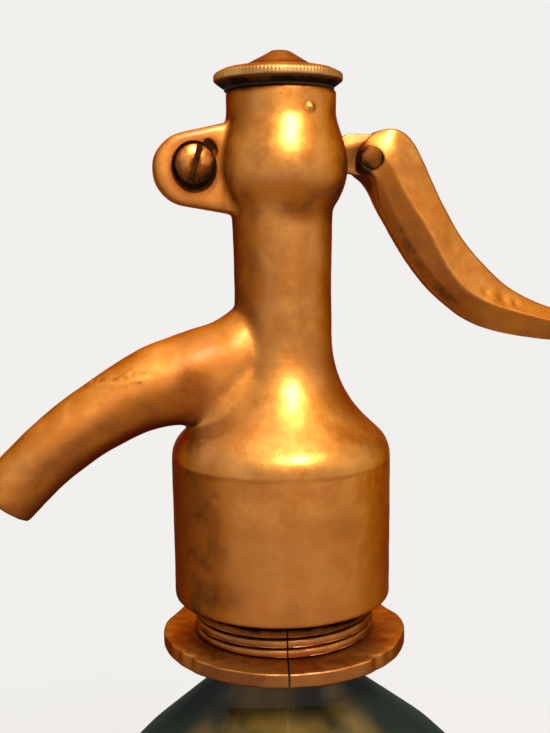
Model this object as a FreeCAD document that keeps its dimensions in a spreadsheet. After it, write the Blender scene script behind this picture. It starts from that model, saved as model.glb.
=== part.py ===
"""A soda siphon: a glass bottle with a cast head, a curved spout and a pinned side lever.

The origin is the centre of the bottle's base. +Z is up, the spout points along -X and
the lever along +X. All lengths are millimetres and all angles are degrees.
"""
import FreeCAD, Part
import Sketcher
import math
import os

SIZES = {
    # glass bottle
    "bottle_radius": 50,
    "bottle_wall": 5,
    "bottle_floor": 7,
    "bottle_height": 215.5,
    "base_round": 8,
    "punt_radius": 34,
    "punt_depth": 3.5,
    "shoulder_fall": 28.4,
    "shoulder_round": 12,
    "flare_below": 9.7,
    "flare_round": 20,
    "neck_gap": 0.8,
    "neck_wall": 4.3,
    "lip_step": 2.7,
    "lip_height": 7,
    "lip_round": 1.6,
    # split collar
    "collar_gap": 0.4,
    "collar_wall": 0.9,
    "collar_grip": 5.5,
    "collar_end_land": 1.3,
    "flange_step": 7,
    "flange_thickness": 3,
    "flange_round": 0.8,
    "thread_depth": 1,
    "thread_pitch": 2.1,
    "thread_root_flat": 0.42,
    "thread_crest_flat": 0.42,
    "thread_turns": 7,
    "split_gap": 0.5,
    "split_angle": -100,
    # rubber ring between glass and head
    "gasket_thickness": 2.5,
    "gasket_gap": 0.3,
    # cast head, outside
    "skirt_depth": 11.5,
    "skirt_bore_gap": 0.1,
    "skirt_wall": 3.35,
    "head_edge_round": 1,
    "dome_height": 32.8,
    "dome_round": 6,
    "root_rise": 11.8,
    "root_round": 18,
    "root_radius": 10.2,
    "waist_rise": 19.9,
    "waist_radius": 9.7,
    "waist_round": 60,
    "throat_rise": 19.1,
    "throat_radius": 10.2,
    "throat_round": 4,
    "bulge_rise": 6.4,
    "bulge_radius": 14.3,
    "bulge_round": 8,
    "crown_rise": 10.8,
    "crown_radius": 11.4,
    "crown_round": 12,
    "crown_land": 5.1,
    # cast head, inside
    "chamber_radius": 10,
    "valve_room": 4.45,
    "gallery_radius": 5.5,
    "gallery_above": 8.6,
    "plunger_bore": 7,
    "plunger_headroom": 0.8,
    "cap_bore": 8.6,
    "cut_spare": 1,
    # spout
    "spout_rise": 6.8,
    "spout_bend": 73,
    "spout_neck_turn": 17,
    "spout_mid_turn": 31,
    "spout_end_turn": 45,
    "spout_turn": 53,
    "spout_spare_turn": 1,
    "spout_root_radius": 8.6,
    "spout_neck_radius": 8.25,
    "spout_mid_radius": 7.1,
    "spout_end_radius": 6.1,
    "spout_tip_radius": 5.9,
    "spout_bore": 3.9,
    # lug that carries the pivot screw
    "lug_wall": 3.85,
    "lug_thickness": 8,
    "lug_top_rim": 0.8,
    "lug_top_rise": 5,
    "lug_bottom_rim": 1.4,
    "lug_bottom_drop": 7.4,
    "lug_round": 5.5,
    # pivot
    "pivot_reach": 18.2,
    "pivot_rise": 0.9,
    "screw_radius": 1.9,
    "screw_head_radius": 4.4,
    "screw_head_thickness": 1.5,
    "screw_slot_width": 1.1,
    "screw_slot_depth": 0.8,
    "screw_slot_lean": 14,
    "recess_depth": 1.2,
    "recess_gap": 0.4,
    # lever arm
    "arm_thickness": 3.2,
    "arm_side_gap": 0.12,
    "arm_half_height": 1.8,
    "cam_rise": 0.5,
    "cam_radius": 3.6,
    "eye_radius": 3.55,
    "tongue_run": 5.5,
    "tongue_above": 5.1,
    "tongue_below": 3.7,
    "press_angle": 9.5,
    "slot_gap": 0.6,
    # handle and its pin
    "handle_gap": 0.9,
    "pin_rise": 1.3,
    "pin_radius": 2.3,
    "pin_inset": 0.2,
    "handle_thickness": 10.6,
    "handle_bevel": 1.3,
    "fork_gap": 0.05,
    "cheek_radius": 3.3,
    "cheek_half_height": 1.7,
    "cheek_round": 1.9,
    "brow_reach": 3.8,
    "brow_rise": 6.8,
    "brow_round": 4,
    "crest_run": 5.6,
    "crest_fall": 0.3,
    "crest_round": 5.5,
    "sweep_run": 15.7,
    "sweep_fall": 31.6,
    "sweep_round": 40,
    "tail_run": 26.4,
    "tail_fall": 8.9,
    "tail_round": 40,
    "end_run": 16,
    "end_fall": 1.6,
    "end_depth": 5.8,
    "end_round": 2.3,
    "belly_back": 2,
    "belly_depth": 6,
    "belly_round": 60,
    "heel_back": 8.1,
    "heel_depth": 8.5,
    "heel_round": 32,
    "fork_reach": 0.4,
    "fork_drop": 3.1,
    "fork_round": 2,
    # plunger with its window
    "running_gap": 0.05,
    "window_gap": 0.06,
    "plunger_roof": 3.04,
    "plunger_floor": 0.74,
    # spring
    "wire_radius": 0.6,
    "spring_radius": 5,
    "spring_turns": 5,
    "spring_end_gap": 0.05,
    # packing
    "washer_thickness": 1.5,
    "leather_thickness": 4,
    "gland_thickness": 4,
    # valve
    "stem_radius": 3,
    "tenon_radius": 2.5,
    "tenon_length": 4.5,
    "stud_radius": 2,
    "stud_spare": 1,
    "seat_thickness": 3,
    "seat_bore": 4.3,
    "seat_gap": 0.05,
    "disc_radius": 7.5,
    "disc_thickness": 2.5,
    "plate_radius": 6.8,
    "plate_thickness": 2,
    "nut_flats": 8,
    "nut_thickness": 3,
    # dip tube and its holder
    "tube_bore": 2.8,
    "tube_wall": 1.7,
    "tube_gap": 0.1,
    "tube_inset": 11,
    "tube_clearance": 12,
    "seal_wall": 1.7,
    "seal_length": 4,
    "holder_wall": 1.3,
    "holder_length": 13,
    "holder_bore": 4,
    "holder_flange_seat": 3,
    "holder_flange_thickness": 3,
    "tube_nut_wall": 1.65,
    "tube_nut_length": 6,
    "tube_nut_floor": 2,
    # cap
    "cap_radius": 13.4,
    "cap_under_radius": 11.6,
    "cap_under_rise": 1.2,
    "cap_edge_land": 1.8,
    "cap_edge_round": 1,
    "cap_brow_radius": 7.4,
    "cap_brow_rise": 0.9,
    "cap_brow_round": 4,
    "cap_button_rise": 3.8,
    "cap_button_radius": 1.8,
    "cap_button_round": 1.6,
    "cap_plug_gap": 0.2,
    "cap_washer_thickness": 0.5,
}

doc = FreeCAD.newDocument("soda_siphon")
sheet = doc.addObject("Spreadsheet::Sheet", "Sizes")
for row, (name, number) in enumerate(SIZES.items(), start=1):
    sheet.set(f"A{row}", name)
    sheet.set(f"B{row}", str(number))
    sheet.setAlias(f"B{row}", name)
doc.recompute()


class Size:
    """A length known both as a number and as the expression that ties it to the sheet."""

    def __init__(self, value, text):
        self.value = value
        self.text = text

    def joined(self, sign, other, value):
        return Size(value, f"({self.text} {sign} {as_size(other).text})")

    def __add__(self, other):
        return self.joined("+", other, self.value + as_size(other).value)

    def __sub__(self, other):
        return self.joined("-", other, self.value - as_size(other).value)

    def __mul__(self, other):
        return self.joined("*", other, self.value * as_size(other).value)

    def __truediv__(self, other):
        return self.joined("/", other, self.value / as_size(other).value)

    def __neg__(self):
        return Size(-self.value, f"(0 - {self.text})")


def as_size(length):
    return length if isinstance(length, Size) else Size(float(length), str(length))


def sine(angle):
    return Size(math.sin(math.radians(angle.value)), f"sin({angle.text})")


def cosine(angle):
    return Size(math.cos(math.radians(angle.value)), f"cos({angle.text})")


class Cells:
    """The sheet's cells by name, each as a Size."""


cell = Cells()
for name in SIZES:
    setattr(cell, name, Size(float(sheet.get(name)), f"Sizes.{name}"))


# ---------------------------------------------------------------- radii, from the dip tube outwards
tube_radius = cell.tube_bore + cell.tube_wall
seal_radius = tube_radius + cell.seal_wall
holder_radius = seal_radius + cell.holder_wall
tube_nut_radius = holder_radius + cell.running_gap + cell.tube_nut_wall
neck_bore = tube_nut_radius + cell.neck_gap
neck_radius = neck_bore + cell.neck_wall
lip_radius = neck_radius + cell.lip_step
thread_root = lip_radius + cell.collar_gap + cell.collar_wall
thread_radius = thread_root + cell.thread_depth
flange_radius = thread_radius + cell.flange_step
skirt_bore = thread_radius + cell.skirt_bore_gap
head_radius = skirt_bore + cell.skirt_wall
holder_flange_radius = neck_bore + cell.holder_flange_seat
slot_width = cell.arm_thickness + cell.arm_side_gap * 2
pin_reach = cell.bulge_radius + cell.handle_gap + cell.cheek_radius
tongue_reach = pin_reach + cell.tongue_run

# ---------------------------------------------------------------- heights, from the glass lip
lip_bottom = cell.bottle_height - cell.lip_height
collar_top = lip_bottom + cell.collar_grip
flange_top = collar_top - cell.collar_end_land - cell.thread_pitch * cell.thread_turns
collar_bottom = flange_top - cell.flange_thickness
flare_z = collar_bottom - cell.flare_below
shoulder_z = flare_z - cell.shoulder_fall
gasket_top = cell.bottle_height + cell.gasket_thickness
holder_top = gasket_top + cell.holder_flange_thickness
holder_bottom = gasket_top - cell.holder_length

# ---------------------------------------------------------------- heights of the head's outside
head_bottom = gasket_top - cell.skirt_depth
dome_z = head_bottom + cell.dome_height
root_z = dome_z + cell.root_rise
spout_z = root_z + cell.spout_rise
waist_z = root_z + cell.waist_rise
throat_z = waist_z + cell.throat_rise
bulge_z = throat_z + cell.bulge_rise
crown_z = bulge_z + cell.crown_rise
head_top = crown_z + cell.crown_land
pivot_z = bulge_z + cell.pivot_rise
cam_z = pivot_z + cell.cam_rise
pin_z = pivot_z + cell.pin_rise

# ---------------------------------------------------------------- heights inside the head
stem_bottom = holder_top + cell.valve_room
nut_top = stem_bottom + cell.stud_spare + cell.nut_thickness
plate_top = nut_top + cell.plate_thickness
disc_top = plate_top + cell.disc_thickness
seat_bottom = disc_top + cell.seat_gap
chamber_top = seat_bottom + cell.seat_thickness
gallery_top = spout_z + cell.gallery_above
gland_top = gallery_top + cell.washer_thickness + cell.leather_thickness + cell.gland_thickness
half_window = cell.cam_radius + cell.window_gap
plunger_bottom = cam_z - half_window - cell.plunger_floor - cell.tenon_length
plunger_top = cam_z + half_window + cell.plunger_roof
cap_bore_floor = plunger_top + cell.plunger_headroom


# ---------------------------------------------------------------- sketch and feature helpers
def new_body(name):
    body = doc.addObject("PartDesign::Body", name)
    body.Label = name
    return body


def new_sketch(body, name, plane, offset=None):
    """A sketch on one of the body's origin planes, moved along the plane's normal by offset."""
    sketch = body.newObject("Sketcher::SketchObject", name)
    planes = [item for item in body.Origin.OriginFeatures if item.Role == plane]
    sketch.AttachmentSupport = [(planes[0], "")]
    sketch.MapMode = "FlatFace"
    if offset is not None:
        sketch.setExpression("AttachmentOffset.Base.z", offset.text)
    return sketch


def pin_point(sketch, geometry, end, point):
    """Tie one sketch point to its place, on an axis where the place is zero."""
    for kind, axis, length in (("DistanceX", -2, point[0]), ("DistanceY", -1, point[1])):
        if isinstance(length, Size):
            rule = Sketcher.Constraint(kind, -1, 1, geometry, end, length.value)
            index = sketch.addConstraint(rule)
            sketch.setExpression(f"Constraints[{index}]", length.text)
        else:
            sketch.addConstraint(Sketcher.Constraint("PointOnObject", geometry, end, axis))


def corner_vector(corner):
    return FreeCAD.Vector(as_size(corner[0]).value, as_size(corner[1]).value, 0)


def outline(sketch, corners):
    """A closed run of straight edges. A corner is (x, y) if sharp, (x, y, radius) if rounded."""
    count = len(corners)
    spots = [corner_vector(corner) for corner in corners]
    starts, ends, arcs = {}, {}, {}
    for i, corner in enumerate(corners):
        starts[i] = ends[i] = spots[i]
        if len(corner) < 3:
            continue
        back = (spots[i - 1] - spots[i]).normalize()
        ahead = (spots[(i + 1) % count] - spots[i]).normalize()
        half = back.getAngle(ahead) / 2
        radius = corner[2].value
        reach = radius / math.tan(half)
        centre = spots[i] + (back + ahead).normalize() * (radius / math.sin(half))
        ends[i] = spots[i] + back * reach
        starts[i] = spots[i] + ahead * reach
        left_turn = back.cross(ahead).z < 0
        first, last = (ends[i], starts[i]) if left_turn else (starts[i], ends[i])
        first_angle = math.atan2(first.y - centre.y, first.x - centre.x)
        last_angle = math.atan2(last.y - centre.y, last.x - centre.x)
        circle = Part.Circle(centre, FreeCAD.Vector(0, 0, 1), radius)
        arc = Part.ArcOfCircle(circle, first_angle, last_angle)
        arcs[i] = (arc, left_turn)
    lines = [
        sketch.addGeometry(Part.LineSegment(starts[i], ends[(i + 1) % count]))
        for i in range(count)
    ]
    for i, corner in enumerate(corners):
        before, after = lines[i - 1], lines[i]
        if i not in arcs:
            sketch.addConstraint(Sketcher.Constraint("Coincident", before, 2, after, 1))
            pin_point(sketch, after, 1, corner)
            continue
        arc, left_turn = arcs[i]
        curve = sketch.addGeometry(arc)
        mark = sketch.addGeometry(Part.Point(spots[i]), True)
        pin_point(sketch, mark, 1, corner)
        sketch.addConstraint(Sketcher.Constraint("PointOnObject", mark, 1, before))
        sketch.addConstraint(Sketcher.Constraint("PointOnObject", mark, 1, after))
        index = sketch.addConstraint(Sketcher.Constraint("Radius", curve, corner[2].value))
        sketch.setExpression(f"Constraints[{index}]", corner[2].text)
        curve_in, curve_out = (1, 2) if left_turn else (2, 1)
        sketch.addConstraint(Sketcher.Constraint("Tangent", before, 2, curve, curve_in))
        sketch.addConstraint(Sketcher.Constraint("Tangent", curve, curve_out, after, 1))


def circle(sketch, centre, radius):
    spot = corner_vector(centre)
    ring = Part.Circle(spot, FreeCAD.Vector(0, 0, 1), radius.value)
    geometry = sketch.addGeometry(ring)
    pin_point(sketch, geometry, 3, centre)
    index = sketch.addConstraint(Sketcher.Constraint("Radius", geometry, radius.value))
    sketch.setExpression(f"Constraints[{index}]", radius.text)


def turn(body, name, corners, kind="Revolution"):
    """Turn an outline of (radius, height) corners about the Z axis, to add or to cut."""
    sketch = new_sketch(body, name + "_outline", "XZ_Plane")
    outline(sketch, corners)
    feature = body.newObject("PartDesign::" + kind, name)
    feature.Profile = sketch
    feature.ReferenceAxis = (sketch, ["V_Axis"])
    feature.Angle = 360
    return feature


def band(inner, outer, low, high):
    """The four corners of a turned ring."""
    return [(inner, low), (outer, low), (outer, high), (inner, high)]


def extrude(body, name, draw, thickness, kind="Pad"):
    """Pad or pocket a side outline by the same amount both ways from the XZ plane."""
    sketch = new_sketch(body, name + "_outline", "XZ_Plane")
    draw(sketch)
    feature = body.newObject("PartDesign::" + kind, name)
    feature.Profile = sketch
    feature.SideType = "Symmetric"
    feature.setExpression("Length", thickness.text)
    return feature


def place(body, x=None, y=None, z=None, rotation=None):
    if rotation:
        body.Placement.Rotation = rotation
    for axis, length in (("x", x), ("y", y), ("z", z)):
        if length is not None:
            body.setExpression(f"Placement.Base.{axis}", length.text)


ALONG_Y = FreeCAD.Rotation(FreeCAD.Vector(1, 0, 0), 90)


# ---------------------------------------------------------------- glass bottle
def make_bottle():
    c = cell
    body = new_body("bottle")
    turn(body, "bottle_outside", [
        (0, 0),
        (c.bottle_radius, 0, c.base_round),
        (c.bottle_radius, shoulder_z, c.shoulder_round),
        (neck_radius, flare_z, c.flare_round),
        (neck_radius, lip_bottom),
        (lip_radius, lip_bottom, c.lip_round),
        (lip_radius, c.bottle_height, c.lip_round),
        (0, c.bottle_height),
    ])
    inner_radius = c.bottle_radius - c.bottle_wall
    turn(body, "bottle_inside", [
        (0, c.bottle_floor),
        (inner_radius, c.bottle_floor, c.base_round),
        (inner_radius, shoulder_z - c.bottle_wall / 2, c.shoulder_round),
        (neck_bore, flare_z - c.bottle_wall / 2, c.flare_round),
        (neck_bore, c.bottle_height),
        (0, c.bottle_height),
    ], "Groove")
    turn(body, "bottle_punt", [
        (0, 0),
        (c.punt_radius, 0),
        (0, c.punt_depth),
    ], "Groove")


# ---------------------------------------------------------------- two-part threaded collar
def make_collar_half(name, turned_by):
    c = cell
    bore = neck_radius + c.collar_gap
    flank = (c.thread_pitch - c.thread_root_flat - c.thread_crest_flat) / 2
    corners = [
        (bore, collar_bottom),
        (flange_radius, collar_bottom, c.flange_round),
        (flange_radius, flange_top, c.flange_round),
    ]
    for i in range(int(c.thread_turns.value)):
        groove = flange_top + c.thread_pitch * i
        crest = groove + c.thread_root_flat + flank
        corners.append((thread_root, groove))
        corners.append((thread_root, groove + c.thread_root_flat))
        corners.append((thread_radius, crest))
        corners.append((thread_radius, crest + c.thread_crest_flat))
    lip_bore = lip_radius + c.collar_gap
    corners += [
        (thread_root, flange_top + c.thread_pitch * int(c.thread_turns.value)),
        (thread_root, collar_top),
        (lip_bore, collar_top),
        (lip_bore, lip_bottom),
        (bore, lip_bottom),
    ]
    body = new_body(name)
    ring = turn(body, name + "_ring", corners)
    half_gap = f"asin({(c.split_gap / bore / 2).text})"
    ring.setExpression("Angle", f"180 deg - 2 * {half_gap}")
    body.Placement.Rotation = FreeCAD.Rotation(FreeCAD.Vector(0, 0, 1), 1)
    start = (c.split_angle + turned_by).text
    body.setExpression("Placement.Rotation.Angle", f"{start} * 1 deg + {half_gap}")


# ---------------------------------------------------------------- ring gasket on the glass lip
def make_neck_gasket():
    c = cell
    body = new_body("neck_gasket")
    turn(body, "gasket_ring", band(
        neck_bore, skirt_bore - c.gasket_gap, c.bottle_height, gasket_top))


# ---------------------------------------------------------------- cast head with spout and lug
def add_spout(body):
    """Round sections stood square on the spout's arc, lofted from the throat to the tip."""
    c = cell
    stations = [
        (as_size(0), c.spout_root_radius),
        (c.spout_neck_turn, c.spout_neck_radius),
        (c.spout_mid_turn, c.spout_mid_radius),
        (c.spout_end_turn, c.spout_end_radius),
        (c.spout_turn, c.spout_tip_radius),
    ]
    sections = []
    for i, (angle, radius) in enumerate(stations):
        sketch = new_sketch(body, f"spout_section_{i}", "YZ_Plane")
        circle(sketch, (0, 0), radius)
        sketch.AttachmentOffset = FreeCAD.Placement(
            FreeCAD.Vector(0, 0, 0), FreeCAD.Rotation(FreeCAD.Vector(-1, 0, 0), 1))
        drop = c.spout_bend - c.spout_bend * cosine(angle)
        sketch.setExpression("AttachmentOffset.Base.y", (spout_z - drop).text)
        sketch.setExpression("AttachmentOffset.Base.z", (-(c.spout_bend * sine(angle))).text)
        sketch.setExpression("AttachmentOffset.Rotation.Angle", angle.text)
        sections.append(sketch)
    loft = body.newObject("PartDesign::AdditiveLoft", "spout")
    loft.Profile = sections[0]
    loft.Sections = sections[1:]


def add_spout_bore(body):
    """A round bore that follows the spout's arc out of the gallery."""
    c = cell
    arc_sketch = new_sketch(body, "spout_line", "XZ_Plane")
    centre_z = spout_z - c.spout_bend
    centre = FreeCAD.Vector(0, centre_z.value, 0)
    tip_angle = c.spout_turn + c.spout_spare_turn
    ring = Part.Circle(centre, FreeCAD.Vector(0, 0, 1), c.spout_bend.value)
    arc = Part.ArcOfCircle(ring, math.radians(90), math.radians(90 + tip_angle.value))
    curve = arc_sketch.addGeometry(arc)
    pin_point(arc_sketch, curve, 3, (0, centre_z))
    pin_point(arc_sketch, curve, 1, (0, spout_z))
    tip_x = -(c.spout_bend * sine(tip_angle))
    pin_x = Sketcher.Constraint("DistanceX", -1, 1, curve, 2, tip_x.value)
    index = arc_sketch.addConstraint(pin_x)
    arc_sketch.setExpression(f"Constraints[{index}]", tip_x.text)
    mouth = new_sketch(body, "spout_bore_outline", "YZ_Plane")
    circle(mouth, (0, spout_z), c.spout_bore)
    pipe = body.newObject("PartDesign::SubtractivePipe", "spout_bore")
    pipe.Profile = mouth
    pipe.Spine = arc_sketch


def make_head_body():
    c = cell
    body = new_body("head_body")
    turn(body, "casting", [
        (0, head_bottom),
        (head_radius, head_bottom, c.head_edge_round),
        (head_radius, dome_z, c.dome_round),
        (c.root_radius, root_z, c.root_round),
        (c.waist_radius, waist_z, c.waist_round),
        (c.throat_radius, throat_z, c.throat_round),
        (c.bulge_radius, bulge_z, c.bulge_round),
        (c.crown_radius, crown_z, c.crown_round),
        (c.crown_radius, head_top),
        (0, head_top),
    ])
    add_spout(body)
    slot_front = c.pivot_reach + c.eye_radius + c.slot_gap
    lug_reach = slot_front + c.lug_wall
    recess_radius = c.screw_head_radius + c.recess_gap
    lug_top = pivot_z + recess_radius + c.lug_top_rim
    lug_bottom = pivot_z - recess_radius - c.lug_bottom_rim

    def lug_side(sketch):
        outline(sketch, [
            (0, lug_top + c.lug_top_rise),
            (-lug_reach, lug_top, c.lug_round),
            (-lug_reach, lug_bottom, c.lug_round),
            (0, lug_bottom - c.lug_bottom_drop),
        ])

    extrude(body, "lug", lug_side, c.lug_thickness)
    turn(body, "plunger_bore", [
        (0, chamber_top - c.cut_spare),
        (c.gallery_radius, chamber_top - c.cut_spare),
        (c.gallery_radius, gallery_top),
        (c.plunger_bore, gallery_top),
        (c.plunger_bore, cap_bore_floor),
        (c.cap_bore, cap_bore_floor),
        (c.cap_bore, head_top),
        (0, head_top),
    ], "Groove")
    turn(body, "chamber", [
        (0, head_bottom),
        (skirt_bore, head_bottom),
        (skirt_bore, gasket_top),
        (holder_flange_radius + c.running_gap, gasket_top),
        (holder_flange_radius + c.running_gap, holder_top),
        (c.chamber_radius, holder_top),
        (c.chamber_radius, chamber_top),
        (0, chamber_top),
    ], "Groove")
    add_spout_bore(body)

    swing = (c.pivot_reach + c.bulge_radius) * sine(c.press_angle)
    rear = c.bulge_radius + c.slot_gap

    def slot_side(sketch):
        outline(sketch, [
            (-slot_front, pivot_z + c.eye_radius + c.slot_gap, c.eye_radius),
            (-slot_front, pivot_z - c.eye_radius - c.slot_gap, c.eye_radius),
            (rear, pin_z - c.tongue_below - swing),
            (rear, pin_z + c.tongue_above + c.slot_gap),
        ])

    def screw_side(sketch):
        circle(sketch, (-c.pivot_reach, pivot_z), c.screw_radius + c.running_gap)

    extrude(body, "lever_slot", slot_side, slot_width, "Pocket")
    extrude(body, "screw_hole", screw_side, c.lug_thickness + c.cut_spare, "Pocket")
    recess_sketch = new_sketch(body, "recess_outline", "XZ_Plane", c.lug_thickness / 2)
    circle(recess_sketch, (-c.pivot_reach, pivot_z), recess_radius)
    recess = body.newObject("PartDesign::Pocket", "recess")
    recess.Profile = recess_sketch
    recess.setExpression("Length", c.recess_depth.text)


# ---------------------------------------------------------------- screw cap on top
def make_top_cap():
    c = cell
    base = head_top + c.cap_washer_thickness
    plug_bottom = cap_bore_floor + c.cap_plug_gap
    edge_bottom = base + c.cap_under_rise
    edge_top = edge_bottom + c.cap_edge_land
    brow_z = edge_top + c.cap_brow_rise
    button_z = brow_z + c.cap_button_rise
    body = new_body("top_cap")
    turn(body, "cap_turning", [
        (0, plug_bottom),
        (c.cap_bore - c.running_gap, plug_bottom),
        (c.cap_bore - c.running_gap, base),
        (c.cap_under_radius, base),
        (c.cap_radius, edge_bottom, c.cap_edge_round),
        (c.cap_radius, edge_top, c.cap_edge_round),
        (c.cap_brow_radius, brow_z, c.cap_brow_round),
        (c.cap_button_radius, button_z, c.cap_button_round),
        (0, button_z),
    ])
    washer = new_body("cap_washer")
    turn(washer, "cap_washer_ring", band(
        c.cap_bore + c.running_gap, c.crown_radius - c.running_gap, head_top, base))


# ---------------------------------------------------------------- slotted pivot screw
def make_pivot_screw():
    """Turned on its own Z axis, head upwards, then laid along Y with its head at the front."""
    c = cell
    half_lug = c.lug_thickness / 2
    head_foot = half_lug - c.recess_depth
    head_face = head_foot + c.screw_head_thickness
    body = new_body("pivot_screw")
    turn(body, "screw_turning", [
        (0, -half_lug),
        (c.screw_radius, -half_lug),
        (c.screw_radius, head_foot),
        (c.screw_head_radius, head_foot),
        (c.screw_head_radius, head_face, c.screw_slot_depth / 2),
        (0, head_face),
    ])
    sketch = new_sketch(body, "screw_slot_outline", "XY_Plane", head_face)
    sketch.AttachmentOffset.Rotation = FreeCAD.Rotation(FreeCAD.Vector(0, 0, -1), 1)
    sketch.setExpression("AttachmentOffset.Rotation.Angle", c.screw_slot_lean.text)
    half_width = c.screw_slot_width / 2
    outline(sketch, [
        (-half_width, -c.screw_head_radius),
        (half_width, -c.screw_head_radius),
        (half_width, c.screw_head_radius),
        (-half_width, c.screw_head_radius),
    ])
    slot = body.newObject("PartDesign::Pocket", "screw_slot")
    slot.Profile = sketch
    slot.setExpression("Length", c.screw_slot_depth.text)
    place(body, x=-c.pivot_reach, z=pivot_z, rotation=ALONG_Y)


# ---------------------------------------------------------------- lever arm
def make_lever_arm():
    """A flat brass arm: eye at the pivot, round cam in the plunger's window, tongue at the pin."""
    c = cell
    rear = c.bulge_radius
    body = new_body("lever_arm")

    def bar_side(sketch):
        outline(sketch, [
            (-c.pivot_reach, cam_z + c.arm_half_height),
            (c.cam_radius, cam_z + c.arm_half_height),
            (c.plunger_bore, cam_z + c.arm_half_height + c.cam_rise, c.cam_radius),
            (rear, pin_z + c.tongue_above, c.cam_radius),
            (tongue_reach, pin_z + c.tongue_above, c.arm_half_height),
            (tongue_reach, pin_z - c.tongue_below, c.arm_half_height),
            (pin_reach, pin_z - c.tongue_below, c.arm_half_height),
            (rear - c.arm_half_height, cam_z - c.arm_half_height, c.cam_radius),
            (-c.pivot_reach, cam_z - c.arm_half_height),
        ])

    def eye_side(sketch):
        circle(sketch, (-c.pivot_reach, pivot_z), c.eye_radius)

    def cam_side(sketch):
        circle(sketch, (0, cam_z), c.cam_radius)

    def screw_side(sketch):
        circle(sketch, (-c.pivot_reach, pivot_z), c.screw_radius + c.running_gap)

    def pin_side(sketch):
        circle(sketch, (pin_reach, pin_z), c.pin_radius + c.running_gap)

    extrude(body, "bar", bar_side, c.arm_thickness)
    extrude(body, "eye", eye_side, c.arm_thickness)
    extrude(body, "cam", cam_side, c.arm_thickness)
    extrude(body, "arm_screw_hole", screw_side, c.arm_thickness * 2, "Pocket")
    extrude(body, "arm_pin_hole", pin_side, c.arm_thickness * 2, "Pocket")


# ---------------------------------------------------------------- cast handle and its cross pin
def side_faces(feature):
    """The names of the two flat faces that look along Y."""
    names = []
    for i, face in enumerate(feature.Shape.Faces, start=1):
        if abs(face.normalAt(0, 0).y) > 0.99:
            names.append(f"Face{i}")
    return names


def make_lever_handle():
    """A bevelled casting, forked over the arm's tongue, that sweeps down and out to the thumb end."""
    c = cell
    body = new_body("lever_handle")
    left = pin_reach - c.cheek_radius
    brow_x, brow_z = pin_reach + c.brow_reach, pin_z + c.brow_rise
    crest_x, crest_z = brow_x + c.crest_run, brow_z - c.crest_fall
    sweep_x, sweep_z = crest_x + c.sweep_run, crest_z - c.sweep_fall
    tail_x, tail_z = sweep_x + c.tail_run, sweep_z - c.tail_fall
    end_x, end_z = tail_x + c.end_run, tail_z - c.end_fall

    def handle_side(sketch):
        outline(sketch, [
            (left, pin_z - c.cheek_half_height, c.cheek_round),
            (left, pin_z + c.cheek_half_height, c.cheek_round),
            (brow_x, brow_z, c.brow_round),
            (crest_x, crest_z, c.crest_round),
            (sweep_x, sweep_z, c.sweep_round),
            (tail_x, tail_z, c.tail_round),
            (end_x, end_z, c.end_round),
            (end_x, end_z - c.end_depth, c.end_round),
            (tail_x - c.belly_back, tail_z - c.belly_depth, c.belly_round),
            (sweep_x - c.heel_back, sweep_z - c.heel_depth, c.heel_round),
            (pin_reach + c.fork_reach, pin_z - c.fork_drop, c.fork_round),
        ])

    grip = extrude(body, "grip", handle_side, c.handle_thickness)
    doc.recompute()
    bevel = body.newObject("PartDesign::Chamfer", "grip_bevel")
    bevel.Base = (grip, side_faces(grip))
    bevel.setExpression("Size", c.handle_bevel.text)

    def fork_side(sketch):
        high = pin_z + c.tongue_above + c.fork_gap
        low = pin_z - c.tongue_below - c.fork_gap
        outline(sketch, [
            (0, low),
            (tongue_reach + c.fork_gap, low),
            (tongue_reach + c.fork_gap, high),
            (0, high),
        ])

    def pin_side(sketch):
        circle(sketch, (pin_reach, pin_z), c.pin_radius + c.running_gap)

    extrude(body, "fork", fork_side, c.arm_thickness + c.fork_gap * 2, "Pocket")
    extrude(body, "handle_pin_hole", pin_side, c.handle_thickness + c.cut_spare, "Pocket")


def make_handle_pin():
    c = cell
    half = c.handle_thickness / 2 - c.pin_inset
    body = new_body("handle_pin")
    turn(body, "pin_turning", [
        (0, -half),
        (c.pin_radius, -half),
        (c.pin_radius, half),
        (0, half),
    ])
    place(body, x=pin_reach, z=pin_z, rotation=ALONG_Y)


# ---------------------------------------------------------------- plunger, stem and spring
def make_plunger_head():
    """A brass slug that slides in the bulge; the lever's cam sits in its window."""
    c = cell
    radius = c.plunger_bore - c.running_gap
    body = new_body("plunger_head")
    turn(body, "slug", [
        (0, plunger_bottom),
        (radius, plunger_bottom),
        (radius, plunger_top),
        (0, plunger_top),
    ])

    def window_side(sketch):
        outline(sketch, [
            (-c.plunger_bore, cam_z - half_window),
            (c.plunger_bore, cam_z - half_window),
            (c.plunger_bore, cam_z + half_window),
            (-c.plunger_bore, cam_z + half_window),
        ])

    extrude(body, "window", window_side, slot_width, "Pocket")
    turn(body, "tenon_hole", [
        (0, plunger_bottom),
        (c.tenon_radius + c.running_gap, plunger_bottom),
        (c.tenon_radius + c.running_gap, plunger_bottom + c.tenon_length),
        (0, plunger_bottom + c.tenon_length),
    ], "Groove")


def make_valve_stem():
    c = cell
    body = new_body("valve_stem")
    turn(body, "stem_turning", [
        (0, stem_bottom),
        (c.stud_radius, stem_bottom),
        (c.stud_radius, disc_top),
        (c.stem_radius, disc_top),
        (c.stem_radius, plunger_bottom),
        (c.tenon_radius, plunger_bottom),
        (c.tenon_radius, plunger_bottom + c.tenon_length),
        (0, plunger_bottom + c.tenon_length),
    ])


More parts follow.
